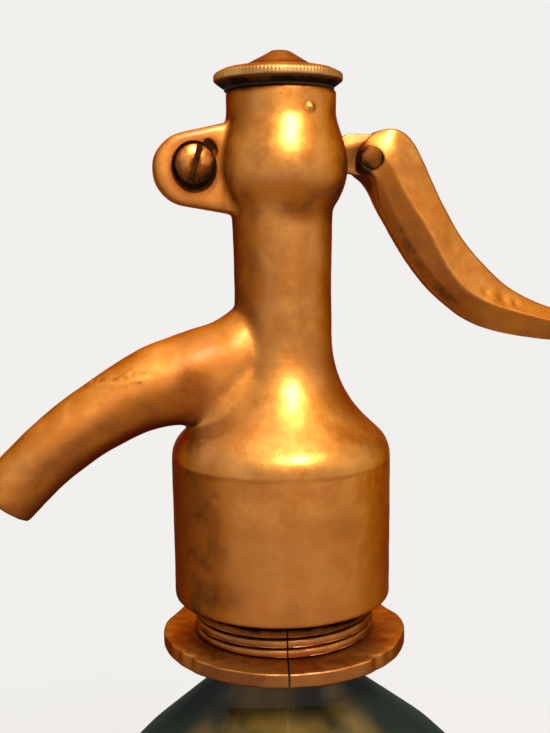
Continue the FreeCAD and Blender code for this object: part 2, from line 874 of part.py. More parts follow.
def make_return_spring():
    c = cell
    body = new_body("return_spring")
    wire_end = c.wire_radius + c.spring_end_gap
    sketch = new_sketch(body, "wire_section", "XZ_Plane")
    circle(sketch, (c.spring_radius, gland_top + wire_end), c.wire_radius)
    coil = body.newObject("PartDesign::AdditiveHelix", "coil")
    coil.Profile = sketch
    coil.ReferenceAxis = (sketch, ["V_Axis"])
    coil.Mode = "height-turns-angle"
    coil.setExpression("Height", (plunger_bottom - gland_top - wire_end * 2).text)
    coil.setExpression("Turns", c.spring_turns.text)


# ---------------------------------------------------------------- packing around the stem
def make_packing():
    """A washer, a leather cup and a gland nut, stacked on the step above the gallery."""
    c = cell
    inner = c.stem_radius + c.running_gap
    outer = c.plunger_bore - c.running_gap
    low = gallery_top
    for name, thickness in (
        ("packing_washer", c.washer_thickness),
        ("cup_leather", c.leather_thickness),
        ("gland_nut", c.gland_thickness),
    ):
        high = low + thickness
        turn(new_body(name), name + "_ring", band(inner, outer, low, high))
        low = high


# ---------------------------------------------------------------- valve below the gallery
HALF_FLAT_ANGLE = 30


def make_valve():
    """A brass seat in the chamber's roof, and the rubber disc, plate and nut on the stem's stud."""
    c = cell
    seat_outer = c.chamber_radius - c.running_gap
    turn(new_body("valve_seat"), "seat_ring", band(
        c.seat_bore, seat_outer, seat_bottom, chamber_top))
    stud_bore = c.stud_radius + c.running_gap
    turn(new_body("valve_disc"), "disc_ring", band(stud_bore, c.disc_radius, plate_top, disc_top))
    turn(new_body("valve_plate"), "plate_ring", band(stud_bore, c.plate_radius, nut_top, plate_top))
    body = new_body("valve_nut")
    sketch = new_sketch(body, "nut_outline", "XY_Plane", nut_top - c.nut_thickness)
    half = c.nut_flats / 2
    point = half / cosine(as_size(HALF_FLAT_ANGLE))
    side = point / 2
    outline(sketch, [
        (0, -point), (half, -side), (half, side), (0, point), (-half, side), (-half, -side),
    ])
    circle(sketch, (0, 0), stud_bore)
    nut = body.newObject("PartDesign::Pad", "hexagon")
    nut.Profile = sketch
    nut.setExpression("Length", c.nut_thickness.text)


# ---------------------------------------------------------------- dip tube and its holder
def make_tube_holder():
    c = cell
    tube_hole = tube_radius + c.tube_gap
    tube_top = holder_bottom + c.tube_inset
    turn(new_body("tube_holder"), "holder_turning", [
        (seal_radius, holder_bottom),
        (holder_radius, holder_bottom),
        (holder_radius, gasket_top),
        (holder_flange_radius, gasket_top),
        (holder_flange_radius, holder_top),
        (c.holder_bore, holder_top),
        (c.holder_bore, tube_top),
        (tube_hole, tube_top),
        (tube_hole, holder_bottom + c.seal_length),
        (seal_radius, holder_bottom + c.seal_length),
    ])
    turn(new_body("tube_seal"), "seal_ring", band(
        tube_radius + c.running_gap, seal_radius - c.running_gap,
        holder_bottom, holder_bottom + c.seal_length))
    nut_bottom = holder_bottom - c.tube_nut_floor
    nut_top_z = nut_bottom + c.tube_nut_length
    turn(new_body("tube_nut"), "tube_nut_turning", [
        (tube_hole, nut_bottom),
        (tube_nut_radius, nut_bottom),
        (tube_nut_radius, nut_top_z),
        (holder_radius + c.running_gap, nut_top_z),
        (holder_radius + c.running_gap, holder_bottom),
        (tube_hole, holder_bottom),
    ])
    turn(new_body("dip_tube"), "tube_wall", band(
        c.tube_bore, tube_radius, c.bottle_floor + c.tube_clearance, tube_top))


makers = [
    make_bottle,
    make_neck_gasket,
    make_head_body,
    make_top_cap,
    make_pivot_screw,
    make_lever_arm,
    make_lever_handle,
    make_handle_pin,
    make_plunger_head,
    make_valve_stem,
    make_return_spring,
    make_packing,
    make_valve,
    make_tube_holder,
]
for maker in makers:
    maker()
make_collar_half("collar_half_spout", 180)
make_collar_half("collar_half_lever", 0)
doc.recompute()

os.makedirs("parts", exist_ok=True)
for item in doc.Objects:
    if "Invalid" in item.State or "Error" in item.State:
        raise RuntimeError(f"{item.Name} failed: {item.State}")
for body in doc.findObjects("PartDesign::Body"):
    if body.Shape.isNull() or not body.Shape.isValid():
        raise RuntimeError(f"{body.Label} has no valid shape")
    body.Shape.exportStep(f"parts/{body.Label}.step")
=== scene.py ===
import math
import bmesh
import bpy
from mathutils import Matrix, Vector, noise


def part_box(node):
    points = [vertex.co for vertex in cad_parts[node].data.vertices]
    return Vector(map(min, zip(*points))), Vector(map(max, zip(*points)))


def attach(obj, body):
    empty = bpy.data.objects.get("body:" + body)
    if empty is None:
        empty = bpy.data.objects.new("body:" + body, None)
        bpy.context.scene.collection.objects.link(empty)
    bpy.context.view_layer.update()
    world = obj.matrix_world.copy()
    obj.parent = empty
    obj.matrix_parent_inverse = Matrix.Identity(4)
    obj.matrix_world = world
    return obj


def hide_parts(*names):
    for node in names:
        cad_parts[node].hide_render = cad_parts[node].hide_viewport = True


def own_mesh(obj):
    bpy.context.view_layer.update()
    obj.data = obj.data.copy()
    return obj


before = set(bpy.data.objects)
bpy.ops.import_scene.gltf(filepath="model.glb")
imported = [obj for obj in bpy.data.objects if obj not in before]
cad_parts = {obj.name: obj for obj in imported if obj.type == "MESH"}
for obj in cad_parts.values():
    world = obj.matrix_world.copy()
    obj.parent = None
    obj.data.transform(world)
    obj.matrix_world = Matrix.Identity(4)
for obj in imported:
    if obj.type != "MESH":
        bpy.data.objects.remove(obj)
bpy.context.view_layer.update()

# A soda siphon: thick blue-green bottle, split brass collar, cast head with a curved spout, and
# a pinned lever. Lengths are metres, the origin is the middle of the bottle's base, +Z is up,
# the spout points along -X and the lever along +X.
mm = 0.001
scene = bpy.context.scene
scene.view_settings.view_transform = "Standard"


# ------------------------------------------------------------------ camera
# A close view of the head from level with the spout's root, from a little round to the
# spout's side. The lens is given by its focal length in pixels of a 733 pixel high picture.
PICTURE_HEIGHT, FOCAL_PIXELS, SENSOR = 733, 1040, 36
EYE_DISTANCE, EYE_HEIGHT, EYE_TURN = 219.6 * mm, 284 * mm, -12
AIM_LEFT, AIM_DOWN, AIM_ROLL = 0.37, 7.46, 0.59


def turned(degrees, axis):
    return Matrix.Rotation(math.radians(degrees), 4, axis)


lens = bpy.data.cameras.new("studio_camera")
lens.sensor_width = SENSOR
lens.lens = FOCAL_PIXELS / PICTURE_HEIGHT * SENSOR
lens.clip_start, lens.clip_end = 10 * mm, 30
camera = bpy.data.objects.new("studio_camera", lens)
stand = turned(EYE_TURN, "Z") @ Matrix.Translation((0, -EYE_DISTANCE, EYE_HEIGHT))
camera.matrix_world = stand @ turned(AIM_LEFT, "Z") @ turned(90 - AIM_DOWN, "X") @ turned(-AIM_ROLL, "Z")
scene.collection.objects.link(camera)
scene.camera = camera


# ------------------------------------------------------------------ floor and studio light
# A pale floor that fades into the pale surround, one soft lamp high in front of the head,
# wide ones above and behind it, and a weak one on the lever side.
SURROUND = (0.88, 0.87, 0.85, 1)
FLOOR_COLOUR = (0.58, 0.57, 0.555, 1)


def add_node(tree, kind, values=None, **settings):
    """One shader node. A value that is a socket is linked, and any other is set."""
    made = tree.nodes.new(kind)
    for name, value in settings.items():
        setattr(made, name, value)
    for name, value in (values or {}).items():
        if isinstance(value, bpy.types.NodeSocket):
            tree.links.new(value, made.inputs[name])
        else:
            made.inputs[name].default_value = value
    return made


def calc(tree, first, second, operation="MULTIPLY"):
    """The product, sum or other result of two values."""
    return add_node(tree, "ShaderNodeMath", {0: first, 1: second}, operation=operation).outputs[0]


def seen_rays(tree):
    """1 for the rays that show the surround: to the camera, in a gloss or through glass."""
    path = add_node(tree, "ShaderNodeLightPath")
    seen = path.outputs["Is Camera Ray"]
    for kind in ("Is Glossy Ray", "Is Transmission Ray"):
        seen = calc(tree, seen, path.outputs[kind], "MAXIMUM")
    return seen


world = bpy.data.worlds.new("studio")
scene.world = world
world.use_nodes = True
tree = world.node_tree
tree.nodes.clear()
fill = add_node(tree, "ShaderNodeBackground", {"Color": (1, 0.98, 0.95, 1), "Strength": 0.5})
shown = add_node(tree, "ShaderNodeBackground", {"Color": SURROUND, "Strength": 1})
both = add_node(tree, "ShaderNodeMixShader", {0: seen_rays(tree), 1: fill.outputs[0], 2: shown.outputs[0]})
add_node(tree, "ShaderNodeOutputWorld", {"Surface": both.outputs[0]})


def new_material(name):
    material = bpy.data.materials.new(name)
    material.use_nodes = True
    material.node_tree.nodes.clear()
    return material, material.node_tree


def make_floor():
    material, tree = new_material("pale_floor")
    place = add_node(tree, "ShaderNodeTexCoord").outputs["Object"]
    far = add_node(tree, "ShaderNodeVectorMath", {0: place}, operation="LENGTH").outputs["Value"]
    fade = add_node(tree, "ShaderNodeMapRange", {"Value": far, "From Min": 0.16, "From Max": 0.5})
    matt = add_node(tree, "ShaderNodeBsdfDiffuse", {"Color": FLOOR_COLOUR})
    glow = add_node(tree, "ShaderNodeEmission", {"Color": SURROUND})
    seen = calc(tree, fade.outputs[0], seen_rays(tree))
    mixed = add_node(tree, "ShaderNodeMixShader", {0: seen, 1: matt.outputs[0], 2: glow.outputs[0]})
    add_node(tree, "ShaderNodeOutputMaterial", {"Surface": mixed.outputs[0]})
    bm = bmesh.new()
    bmesh.ops.create_circle(bm, cap_ends=True, segments=96, radius=3)
    mesh = bpy.data.meshes.new("floor")
    bm.to_mesh(mesh)
    mesh.materials.append(material)
    floor = bpy.data.objects.new("floor", mesh)
    scene.collection.objects.link(floor)


def add_lamp(name, size, watts, colour, place, target):
    """A square area lamp at place, aimed at target, with both in millimetres."""
    light = bpy.data.lights.new(name, "AREA")
    light.shape = "SQUARE"
    light.size, light.energy, light.color = size * mm, watts, colour
    lamp = bpy.data.objects.new(name, light)
    lamp.location = Vector(place) * mm
    aim = Vector(target) * mm - lamp.location
    lamp.rotation_euler = aim.to_track_quat("-Z", "Y").to_euler()
    scene.collection.objects.link(lamp)


make_floor()
add_lamp("key_lamp", 210, 8.0, (1, 0.94, 0.82), (75, -480, 745), (0, 0, 280))
add_lamp("top_lamp", 520, 3.0, (1, 0.96, 0.9), (60, -60, 1000), (0, 0, 240))
add_lamp("back_lamp", 1100, 5.5, (1, 0.97, 0.93), (60, 520, 900), (0, 0, 240))
add_lamp("side_lamp", 420, 0.35, (1, 0.98, 0.95), (760, -420, 420), (0, 0, 240))


# ------------------------------------------------------------------ bottle
# Thick, old, blue-green glass blown in a mould: straight sides, a plain shoulder, a neck with
# a rolled lip for the collar to grip, and a shallow punt under the base.
BASE_SPIN_STEPS = 192
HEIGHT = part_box("bottle")[1].z / mm
RADIUS, WALL, FLOOR = 50, 5, 7
COLLAR_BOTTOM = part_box("collar_half_spout")[0].z / mm
FLARE_Z, SHOULDER_Z = COLLAR_BOTTOM - 9.7, COLLAR_BOTTOM - 38.1
NECK, NECK_BORE, LIP, LIP_FOOT = 14.3, 10, 17, HEIGHT - 7
LEAN, LEAN_Z, LEAN_REACH = 1.5, 165, 26


def mix(tree, share, first, second, kind="RGBA", blend="MIX"):
    made = add_node(tree, "ShaderNodeMix", data_type=kind, blend_type=blend)
    slots = {"RGBA": (0, 6, 7, 2), "FLOAT": (0, 2, 3, 0)}[kind]
    for slot, value in zip(slots, (share, first, second)):
        if isinstance(value, bpy.types.NodeSocket):
            tree.links.new(value, made.inputs[slot])
        else:
            made.inputs[slot].default_value = value
    return made.outputs[slots[3]]


def spread(tree, value, low, high, to_low=0.0, to_high=1.0):
    """The value's range from low to high, stretched smoothly to a new range."""
    return add_node(tree, "ShaderNodeMapRange", {
        "Value": value, "From Min": low, "From Max": high, "To Min": to_low, "To Max": to_high,
    }, interpolation_type="SMOOTHSTEP").outputs[0]


def noise_at(tree, place, scale, detail=4.0, rough=0.55):
    return add_node(tree, "ShaderNodeTexNoise", {
        "Vector": place, "Scale": scale, "Detail": detail, "Roughness": rough,
    }).outputs["Fac"]


def rounded(corners, arc_step=8):
    """The points of an outline. A corner is (x, z) if sharp, (x, z, radius) if it is an arc."""
    spots = [Vector(corner[:2]) for corner in corners]
    points = []
    for i, corner in enumerate(corners):
        if len(corner) < 3:
            points.append(spots[i])
            continue
        back = (spots[i - 1] - spots[i]).normalized()
        ahead = (spots[(i + 1) % len(spots)] - spots[i]).normalized()
        half = back.angle(ahead) / 2
        centre = spots[i] + (back + ahead).normalized() * corner[2] / math.sin(half)
        first = spots[i] + back * corner[2] / math.tan(half) - centre
        sweep = -first.angle_signed(spots[i] + ahead * corner[2] / math.tan(half) - centre)
        steps = max(3, math.ceil(math.degrees(abs(sweep)) / arc_step))
        for k in range(steps + 1):
            points.append(centre + Matrix.Rotation(sweep * k / steps, 2) @ first)
    return points


def divided(points, longest):
    """The same run of points with no step longer than longest."""
    result = [points[0]]
    for start, end in zip(points, points[1:]):
        steps = max(1, math.ceil((end - start).length / longest))
        result += [start.lerp(end, k / steps) for k in range(1, steps + 1)]
    return result


def spun(points, steps):
    """A closed turned form through (radius, height) in millimetres, from axis to axis or round a ring."""
    bm = bmesh.new()
    verts = [bm.verts.new((p[0] * mm, 0, p[1] * mm)) for p in points]
    loop = list(zip(verts, verts[1:]))
    if points[0][0] > 0:
        loop.append((verts[-1], verts[0]))
    edges = [bm.edges.new(pair) for pair in loop]
    bmesh.ops.spin(bm, geom=verts + edges, cent=(0, 0, 0), axis=(0, 0, 1), dvec=(0, 0, 0),
                   angle=math.tau, steps=steps, use_merge=True)
    bmesh.ops.remove_doubles(bm, verts=bm.verts, dist=0.0001 * mm)
    bmesh.ops.recalc_face_normals(bm, faces=bm.faces)
    return bm


def shift_skin(bm, depth, size, seed, along=None):
    """Push each vertex along its normal by soft noise, up to about depth, in waves of about size."""
    bm.normal_update()
    moves = []
    for vert in bm.verts:
        wave = noise.noise(vert.co / size + Vector((seed, 0, 0)))
        moves.append(vert.normal * wave * depth * (along(vert.co) if along else 1))
    for vert, move in zip(bm.verts, moves):
        vert.co += move


def finished(bm, name, material, body, stands_for=(), sharp=35, grime=None, dull=None):
    """A smooth-shaded piece made from the bmesh, which rides on its body. grime and dull(place, normal)
    say how dark and how matt it is there: above zero the first is dirt and painted shade, and below
    zero it is painted light."""
    bm.normal_update()
    for title, amount in (("grime", grime), ("dull", dull)):
        if amount:
            layer = bm.verts.layers.float.new(title)
            for vert in bm.verts:
                vert[layer] = max(-1.0, min(1.0, amount(vert.co / mm, vert.normal)))
    mesh = bpy.data.meshes.new(name)
    bm.to_mesh(mesh)
    bm.free()
    mesh.shade_smooth()
    mesh.set_sharp_from_angle(angle=math.radians(sharp))
    mesh.materials.append(material)
    piece = bpy.data.objects.new(name, mesh)
    scene.collection.objects.link(piece)
    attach(piece, body)
    if stands_for:
        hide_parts(*stands_for)


def glass(name, colour, stain_and_painted_light, body, rough, bump, wave_scale):
    """Thick glass with slow waves. stain tints it in upright bands, mostly above the bottle's
    straight sides, and a matt skin shows those bands three times as bright as painted light where the
    glass is seen face on. body is the colour it shows edge on, a painted shade, with its share of the
    whole."""
    material, tree = new_material(name)
    place = add_node(tree, "ShaderNodeTexCoord").outputs["Object"]
    waves = noise_at(tree, place, wave_scale, 2.0, 0.4)
    smears = spread(tree, noise_at(tree, place, wave_scale * 1.7, 5.0, 0.6), 0.4, 0.75, rough, rough + 0.1)
    upright = add_node(tree, "ShaderNodeMapping", {"Vector": place, "Scale": (1, 1, 0.18)}).outputs[0]
    height = add_node(tree, "ShaderNodeSeparateXYZ", {0: place}).outputs["Z"]
    banded_height = spread(tree, height, (SHOULDER_Z - 30) * mm, (SHOULDER_Z + 5) * mm, 0.1, 1.0)
    cloudy = noise_at(tree, upright, wave_scale * 1.6, 2.0, 0.5)
    painted_light_streaks = calc(tree, banded_height, spread(tree, cloudy, 0.3, 0.7))
    raised = add_node(tree, "ShaderNodeBump", {"Height": waves, "Distance": bump, "Strength": 1.0})
    shader = add_node(tree, "ShaderNodeBsdfPrincipled", {
        "Base Color": mix(tree, painted_light_streaks, colour, stain_and_painted_light), "Roughness": smears, "Normal": raised.outputs[0],
        "Transmission Weight": 1.0, "IOR": 1.5, "Specular IOR Level": 0.25,
    })
    facing = add_node(tree, "ShaderNodeLayerWeight", {"Blend": 0.5}).outputs["Facing"]
    # Painted light: the olive bands show, three times as bright, in a matt skin where the glass is seen
    # face on.
    painted_light_middle = calc(tree, painted_light_streaks, spread(tree, facing, 0.5, 0.15))
    skin = mix(tree, painted_light_middle, body[:3] + (1,), tuple(3.0 * channel for channel in stain_and_painted_light[:3]) + (1,))
    matt = add_node(tree, "ShaderNodeBsdfDiffuse", {"Color": skin})
    # Painted shade: the matt skin takes over towards the glancing edges, in the edge-on colour.
    share = spread(tree, facing, 0.2, 0.7, body[3], 1 - 0.1 * body[3])
    mixed = add_node(tree, "ShaderNodeMixShader", {0: share, 1: shader.outputs[0], 2: matt.outputs[0]})
    add_node(tree, "ShaderNodeOutputMaterial", {"Surface": mixed.outputs[0]})
    return material


# Its olive bands are painted light and its near-black edge colour is painted shade.
teal_glass = glass(
    "teal_glass", (0.012, 0.085, 0.078, 1), (0.085, 0.05, 0.011, 1), (0.007, 0.013, 0.008, 0.65),
    0.06, 0.35 * mm, 45.0)
bottle_outline = rounded([
    (0, 3.5), (34, 0), (RADIUS, 0, 8), (RADIUS, SHOULDER_Z - 3, 16), (34, SHOULDER_Z + 13.6, 20),
    (NECK, FLARE_Z + 1.7, 9), (NECK, LIP_FOOT), (LIP, LIP_FOOT, 1.6), (LIP, HEIGHT, 1.6),
    (NECK_BORE, HEIGHT), (NECK_BORE, FLARE_Z - 1.4, 9), (30.5, SHOULDER_Z + 10, 20),
    (RADIUS - WALL, SHOULDER_Z - 6, 14), (RADIUS - WALL, FLOOR, 8), (0, FLOOR),
], 5)
bm = spun(divided(bottle_outline, 8), BASE_SPIN_STEPS)
shift_skin(bm, 0.12 * mm, 28 * mm, 3)
for vert in bm.verts:
    share = max(0.0, 1 - abs(vert.co.z / mm - LEAN_Z) / LEAN_REACH)
    vert.co.x += LEAN * mm * share * share * (3 - 2 * share)
finished(bm, "glass_bottle", teal_glass, "siphon", ["bottle"])


# ------------------------------------------------------------------ split collar
# Two halves of a turned brass ring clamp under the glass lip. The flange below is chipped and
# dented from spanners; the thread above runs up into the head's skirt.
FLANGE_TOP, THREAD_TOP = COLLAR_BOTTOM + 3, COLLAR_BOTTOM + 17.7
COLLAR_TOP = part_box("collar_half_spout")[1].z / mm
COLLAR_BORE, THREAD_ROOT, THREAD_CREST, FLANGE = 14.7, 18.3, 19.3, 26.3
PITCH, SPLIT_GAP, SPLIT_ANGLE = 2.1, 0.24, -100
CHIPS = ((-172, 0.5, 6), (-161, 0.9, 5), (-151, 1.1, 4), (-140, 0.5, 7), (-122, 0.35, 5), (-104, 0.25, 3),
         (-91, 0.4, 4), (-84, 0.2, 2), (-70, 0.35, 6), (-55, 1.0, 3.5), (-47, 0.6, 5), (-30, 0.5, 9),
         (12, 0.6, 8), (60, 0.4, 10), (118, 0.7, 7), (150, 0.5, 9))


def vectors(*rows):
    return [Vector(row) for row in rows]


def new_group(name, inputs, outputs):
    """A shader node group with float or colour sockets, and its input and output nodes."""
    group = bpy.data.node_groups.new(name, "ShaderNodeTree")
    for title, value in inputs.items():
        kind = "NodeSocketFloat" if isinstance(value, (int, float)) else "NodeSocketColor"
        group.interface.new_socket(title, in_out="INPUT", socket_type=kind).default_value = value
    for title, kind in outputs.items():
        group.interface.new_socket(title, in_out="OUTPUT", socket_type=kind)
    return group, add_node(group, "NodeGroupInput"), add_node(group, "NodeGroupOutput")


def make_worn_and_painted_metal():
    group, given, result = new_group("worn_and_painted_metal", {
        "Bright": (0.8, 0.5, 0.2, 1), "Body": (0.6, 0.3, 0.1, 1), "Tarnish": (0.3, 0.1, 0.03, 1),
        "Grime": (0.06, 0.03, 0.01, 1), "Painted Light": (0.85, 0.42, 0.13, 1),
        "Patch Scale": 60.0, "Patch Amount": 0.5, "Rough Low": 0.3, "Rough High": 0.5,
        "Scratch Amount": 0.5, "Pit Amount": 0.5,
    }, {"Color": "NodeSocketColor", "Roughness": "NodeSocketFloat", "Metallic": "NodeSocketFloat",
        "Height": "NodeSocketFloat", "Gloss": "NodeSocketFloat"})
    ins = given.outputs
    place = add_node(group, "ShaderNodeTexCoord").outputs["Object"]
    broad = noise_at(group, place, ins["Patch Scale"], 3.0, 0.5)
    cloud = noise_at(group, place, 170.0, 5.0, 0.6)
    fine = noise_at(group, place, 800.0, 6.0, 0.65)
    colour = mix(group, spread(group, cloud, 0.35, 0.65), ins["Body"], ins["Bright"])
    colour = mix(group, calc(group, spread(group, fine, 0.52, 0.7), 0.25), colour, ins["Bright"])
    patch = calc(group, spread(group, broad, 0.48, 0.7), ins["Patch Amount"])
    patch = calc(group, patch, spread(group, cloud, 0.3, 0.6, 0.5, 1.0))
    # The grime attribute carries dirt and painted shade above zero and painted light below zero.
    worn = add_node(group, "ShaderNodeAttribute", attribute_name="grime").outputs["Fac"]
    ragged = calc(group, worn, spread(group, cloud, 0.3, 0.7, 0.7, 1.3))
    stain_and_painted_light = add_node(group, "ShaderNodeMath", {0: patch, 1: spread(group, ragged, 0.0, 0.55)},
                     operation="ADD", use_clamp=True).outputs[0]
    # Painted light: below zero the colour is lifted towards the bright painted light colour.
    colour = mix(group, spread(group, worn, 0.0, -1.0), colour, ins["Painted Light"])
    colour = mix(group, stain_and_painted_light, colour, ins["Tarnish"])
    # Dirt and painted shade darken the colour towards the dark grime colour.
    dirt_and_shade = spread(group, ragged, 0.45, 0.95)
    colour = mix(group, dirt_and_shade, colour, ins["Grime"])
    lines = None
    for turn, scale in (((0.5, 0.3, 0.7), 300.0), ((1.2, 0.9, 2.0), 420.0)):
        drawn = add_node(group, "ShaderNodeMapping", {
            "Vector": place, "Rotation": turn, "Scale": (1, 14, 1)}).outputs[0]
        wave = noise_at(group, drawn, scale, 2.0, 0.5)
        off = calc(group, wave, 0.5, "SUBTRACT")
        off = add_node(group, "ShaderNodeMath", {0: off}, operation="ABSOLUTE").outputs[0]
        line = spread(group, off, 0.006, 0.0)
        lines = line if lines is None else calc(group, lines, line, "MAXIMUM")
    lines = calc(group, calc(group, lines, spread(group, broad, 0.4, 0.55)), ins["Scratch Amount"])
    cells = add_node(group, "ShaderNodeTexVoronoi", {"Vector": place, "Scale": 620.0, "Randomness": 1.0})
    pit = spread(group, cells.outputs["Distance"], 0.2, 0.08)
    pit = calc(group, calc(group, pit, spread(group, cloud, 0.55, 0.62)), ins["Pit Amount"])
    colour = mix(group, calc(group, pit, 0.6), colour, ins["Grime"])
    colour = mix(group, calc(group, lines, 0.35), colour, ins["Bright"])
    rough = mix(group, spread(group, broad, 0.35, 0.65), ins["Rough Low"], ins["Rough High"], "FLOAT")
    rough = calc(group, rough, spread(group, fine, 0.3, 0.7, -0.03, 0.05), "ADD")
    rough = calc(group, rough, calc(group, stain_and_painted_light, 0.06), "ADD")
    rough = calc(group, rough, calc(group, dirt_and_shade, 0.25), "ADD")
    dull = add_node(group, "ShaderNodeAttribute", attribute_name="dull").outputs["Fac"]
    rough = calc(group, rough, calc(group, dull, 0.2), "ADD")
    gloss = calc(group, spread(group, dull, 0.0, 1.0, 1.0, 0.85), spread(group, worn, 0.1, 0.5, 1.0, 0.0))
    bare = calc(group, 1.0, calc(group, dirt_and_shade, 0.15), "SUBTRACT")
    height = calc(group, calc(group, fine, 0.3), calc(group, cloud, 0.5), "ADD")
    height = calc(group, height, calc(group, pit, 0.8), "SUBTRACT")
    height = calc(group, height, calc(group, lines, 0.3), "SUBTRACT")
    for title, socket in (("Color", colour), ("Roughness", rough), ("Metallic", bare), ("Height", height),
                          ("Gloss", gloss)):
        group.links.new(socket, result.inputs[title])
    return group


worn_and_painted_metal = make_worn_and_painted_metal()


def metal(name, bump, edge_tint, **given):
    """A worn metal. bump is how far its texture stands up, and edge_tint its colour at a glancing angle."""
    material, tree = new_material(name)
    skin = add_node(tree, "ShaderNodeGroup", node_tree=worn_and_painted_metal)
    for title, value in given.items():
        skin.inputs[title.replace("_", " ").title()].default_value = value
    facing = add_node(tree, "ShaderNodeLayerWeight", {"Blend": 0.5}).outputs["Facing"]
    # Painted shade: the base colour darkens towards the glancing edges.
    painted_edge_shade = calc(tree, spread(tree, facing, 0.2, 0.85), 0.75)
    colour = mix(tree, painted_edge_shade, skin.outputs["Color"], (0.55, 0.32, 0.18, 1), blend="MULTIPLY")
    raised = add_node(tree, "ShaderNodeBump", {
        "Height": skin.outputs["Height"], "Distance": bump, "Strength": 0.8})
    shader = add_node(tree, "ShaderNodeBsdfPrincipled", {
        "Base Color": colour, "Roughness": skin.outputs["Roughness"],
        "Metallic": skin.outputs["Metallic"], "Normal": raised.outputs[0], "Specular Tint": edge_tint,
        "Coat Weight": calc(tree, skin.outputs["Gloss"], spread(tree, facing, 0.0, 0.5, 0.65, 0.0)),
        "Coat Roughness": 0.29,
    })
    add_node(tree, "ShaderNodeOutputMaterial", {"Surface": shader.outputs[0]})
    return material


collar_brass = metal(
    "collar_brass", 0.06 * mm, (0.3, 0.2, 0.14, 1), bright=(0.43, 0.165, 0.03, 1),
    body=(0.28, 0.088, 0.013, 1), tarnish=(0.17, 0.048, 0.008, 1), grime=(0.014, 0.006, 0.003, 1),
    patch_scale=70.0, patch_amount=0.55, rough_low=0.4, rough_high=0.52, scratch_amount=0.4, pit_amount=0.8)


def thread_height(share):
    """How far the thread stands up at a share of its pitch: a narrow root and a broad, worn crest."""
    if share < 0.09:
        return 0.0
    if share < 0.25:
        return math.sin((share - 0.09) / 0.16 * math.pi / 2)
    if share < 0.82:
        return 1.0 - 0.12 * ((share - 0.53) / 0.29) ** 2
    return 0.88 * math.cos((share - 0.82) / 0.18 * math.pi / 2)


def worn_collar(co):
    """Cut the thread as a real helix, dent the flange's rim and wear its edge."""
    angle = math.atan2(co.y, co.x)
    radius = math.hypot(co.x, co.y) / mm
    z = co.z / mm
    if radius > THREAD_ROOT - 0.1 and FLANGE_TOP + 0.05 < z < THREAD_TOP + 0.2:
        turns = (z - FLANGE_TOP) / PITCH - (angle - math.radians(SPLIT_ANGLE)) / math.tau
        ends = min(1.0, (z - FLANGE_TOP) / 0.5, max(0.0, (THREAD_TOP - z) / 0.5))
        radius = THREAD_ROOT + (THREAD_CREST - THREAD_ROOT) * thread_height(turns % 1.0) * max(0.0, ends)
    if radius > THREAD_CREST + 3 and z < FLANGE_TOP + 0.1:
        rim = min(1.0, (radius - THREAD_CREST - 3) / (FLANGE - THREAD_CREST - 3))
        for at, depth, width in CHIPS:
            off = (math.degrees(angle) - at + 180) % 360 - 180
            bite = depth * math.exp(-(off / width) ** 2) * rim ** 3
            top = (z - COLLAR_BOTTOM) / (FLANGE_TOP - COLLAR_BOTTOM)
            radius -= bite * (0.25 + 0.75 * top)
            z -= 0.35 * bite * top
    scale = radius * mm / math.hypot(co.x, co.y)
    return Vector((co.x * scale, co.y * scale, z * mm))


def collar_grime_and_shade(place, normal):
    """Darker in the thread's roots; painted shadow under the skirt; painted shade on the flange's side, on
    its underside and in its corner at the thread's foot.
    """
    radius = math.hypot(place.x, place.y)
    if place.z > FLANGE_TOP + 0.1:
        deep = (THREAD_CREST - radius) / (THREAD_CREST - THREAD_ROOT)
        # Darker in the thread's roots, and painted shadow under the skirt at the top of the thread.
        return 2.2 * max(0.0, deep - 0.18) + max(0.0, min(0.9, (place.z - FLANGE_TOP - 4.2) / 2.2))
    # Painted shade in the flange's corner at the thread's foot, on its side and on its underside.
    corner = max(0.0, 1 - (radius - THREAD_ROOT) / 1.4) if normal.z > 0.5 else 0.0
    side = 0.3 if normal.z < 0.5 else 0.0
    return max(corner, side, 0.6 * max(0.0, -normal.z))


def make_collar_half(name, start, node):
    flange = rounded([
        (COLLAR_BORE, COLLAR_BOTTOM), (FLANGE, COLLAR_BOTTOM, 0.6), (FLANGE, FLANGE_TOP, 0.4),
        (THREAD_ROOT, FLANGE_TOP),
    ], 15)
    outline = divided(flange, 0.9)
    outline += divided(vectors((THREAD_ROOT, FLANGE_TOP), (THREAD_ROOT, THREAD_TOP + 0.3)), 0.12)[1:]
    outline += vectors((THREAD_ROOT, COLLAR_TOP), (LIP + 0.4, COLLAR_TOP), (LIP + 0.4, LIP_FOOT),
                       (COLLAR_BORE, LIP_FOOT))
    gap = math.degrees(SPLIT_GAP / 2 / COLLAR_BORE)
    bm = bmesh.new()
    verts = [bm.verts.new((p[0] * mm, 0, p[1] * mm)) for p in outline]
    section = bm.faces.new(verts)
    swept = bmesh.ops.spin(bm, geom=[section], cent=(0, 0, 0), axis=(0, 0, 1), dvec=(0, 0, 0),
                           angle=math.radians(180 - 2 * gap), steps=150)
    bmesh.ops.rotate(bm, verts=bm.verts, cent=(0, 0, 0), matrix=turned(start + gap, "Z"))
    bmesh.ops.recalc_face_normals(bm, faces=bm.faces)
    for vert in bm.verts:
        vert.co = worn_collar(vert.co)
    shift_skin(bm, 0.06 * mm, 2.2 * mm, 5, lambda co: co.z / mm < FLANGE_TOP + 0.2)
    ends = [face for face in bm.faces if len(face.verts) > 4]
    bmesh.ops.triangulate(bm, faces=ends)
    finished(bm, name, collar_brass, "siphon", [node], 30, collar_grime_and_shade,
             lambda place, normal: 0.5)


make_collar_half("collar_right", SPLIT_ANGLE, "collar_half_lever")
make_collar_half("collar_left", SPLIT_ANGLE + 180, "collar_half_spout")


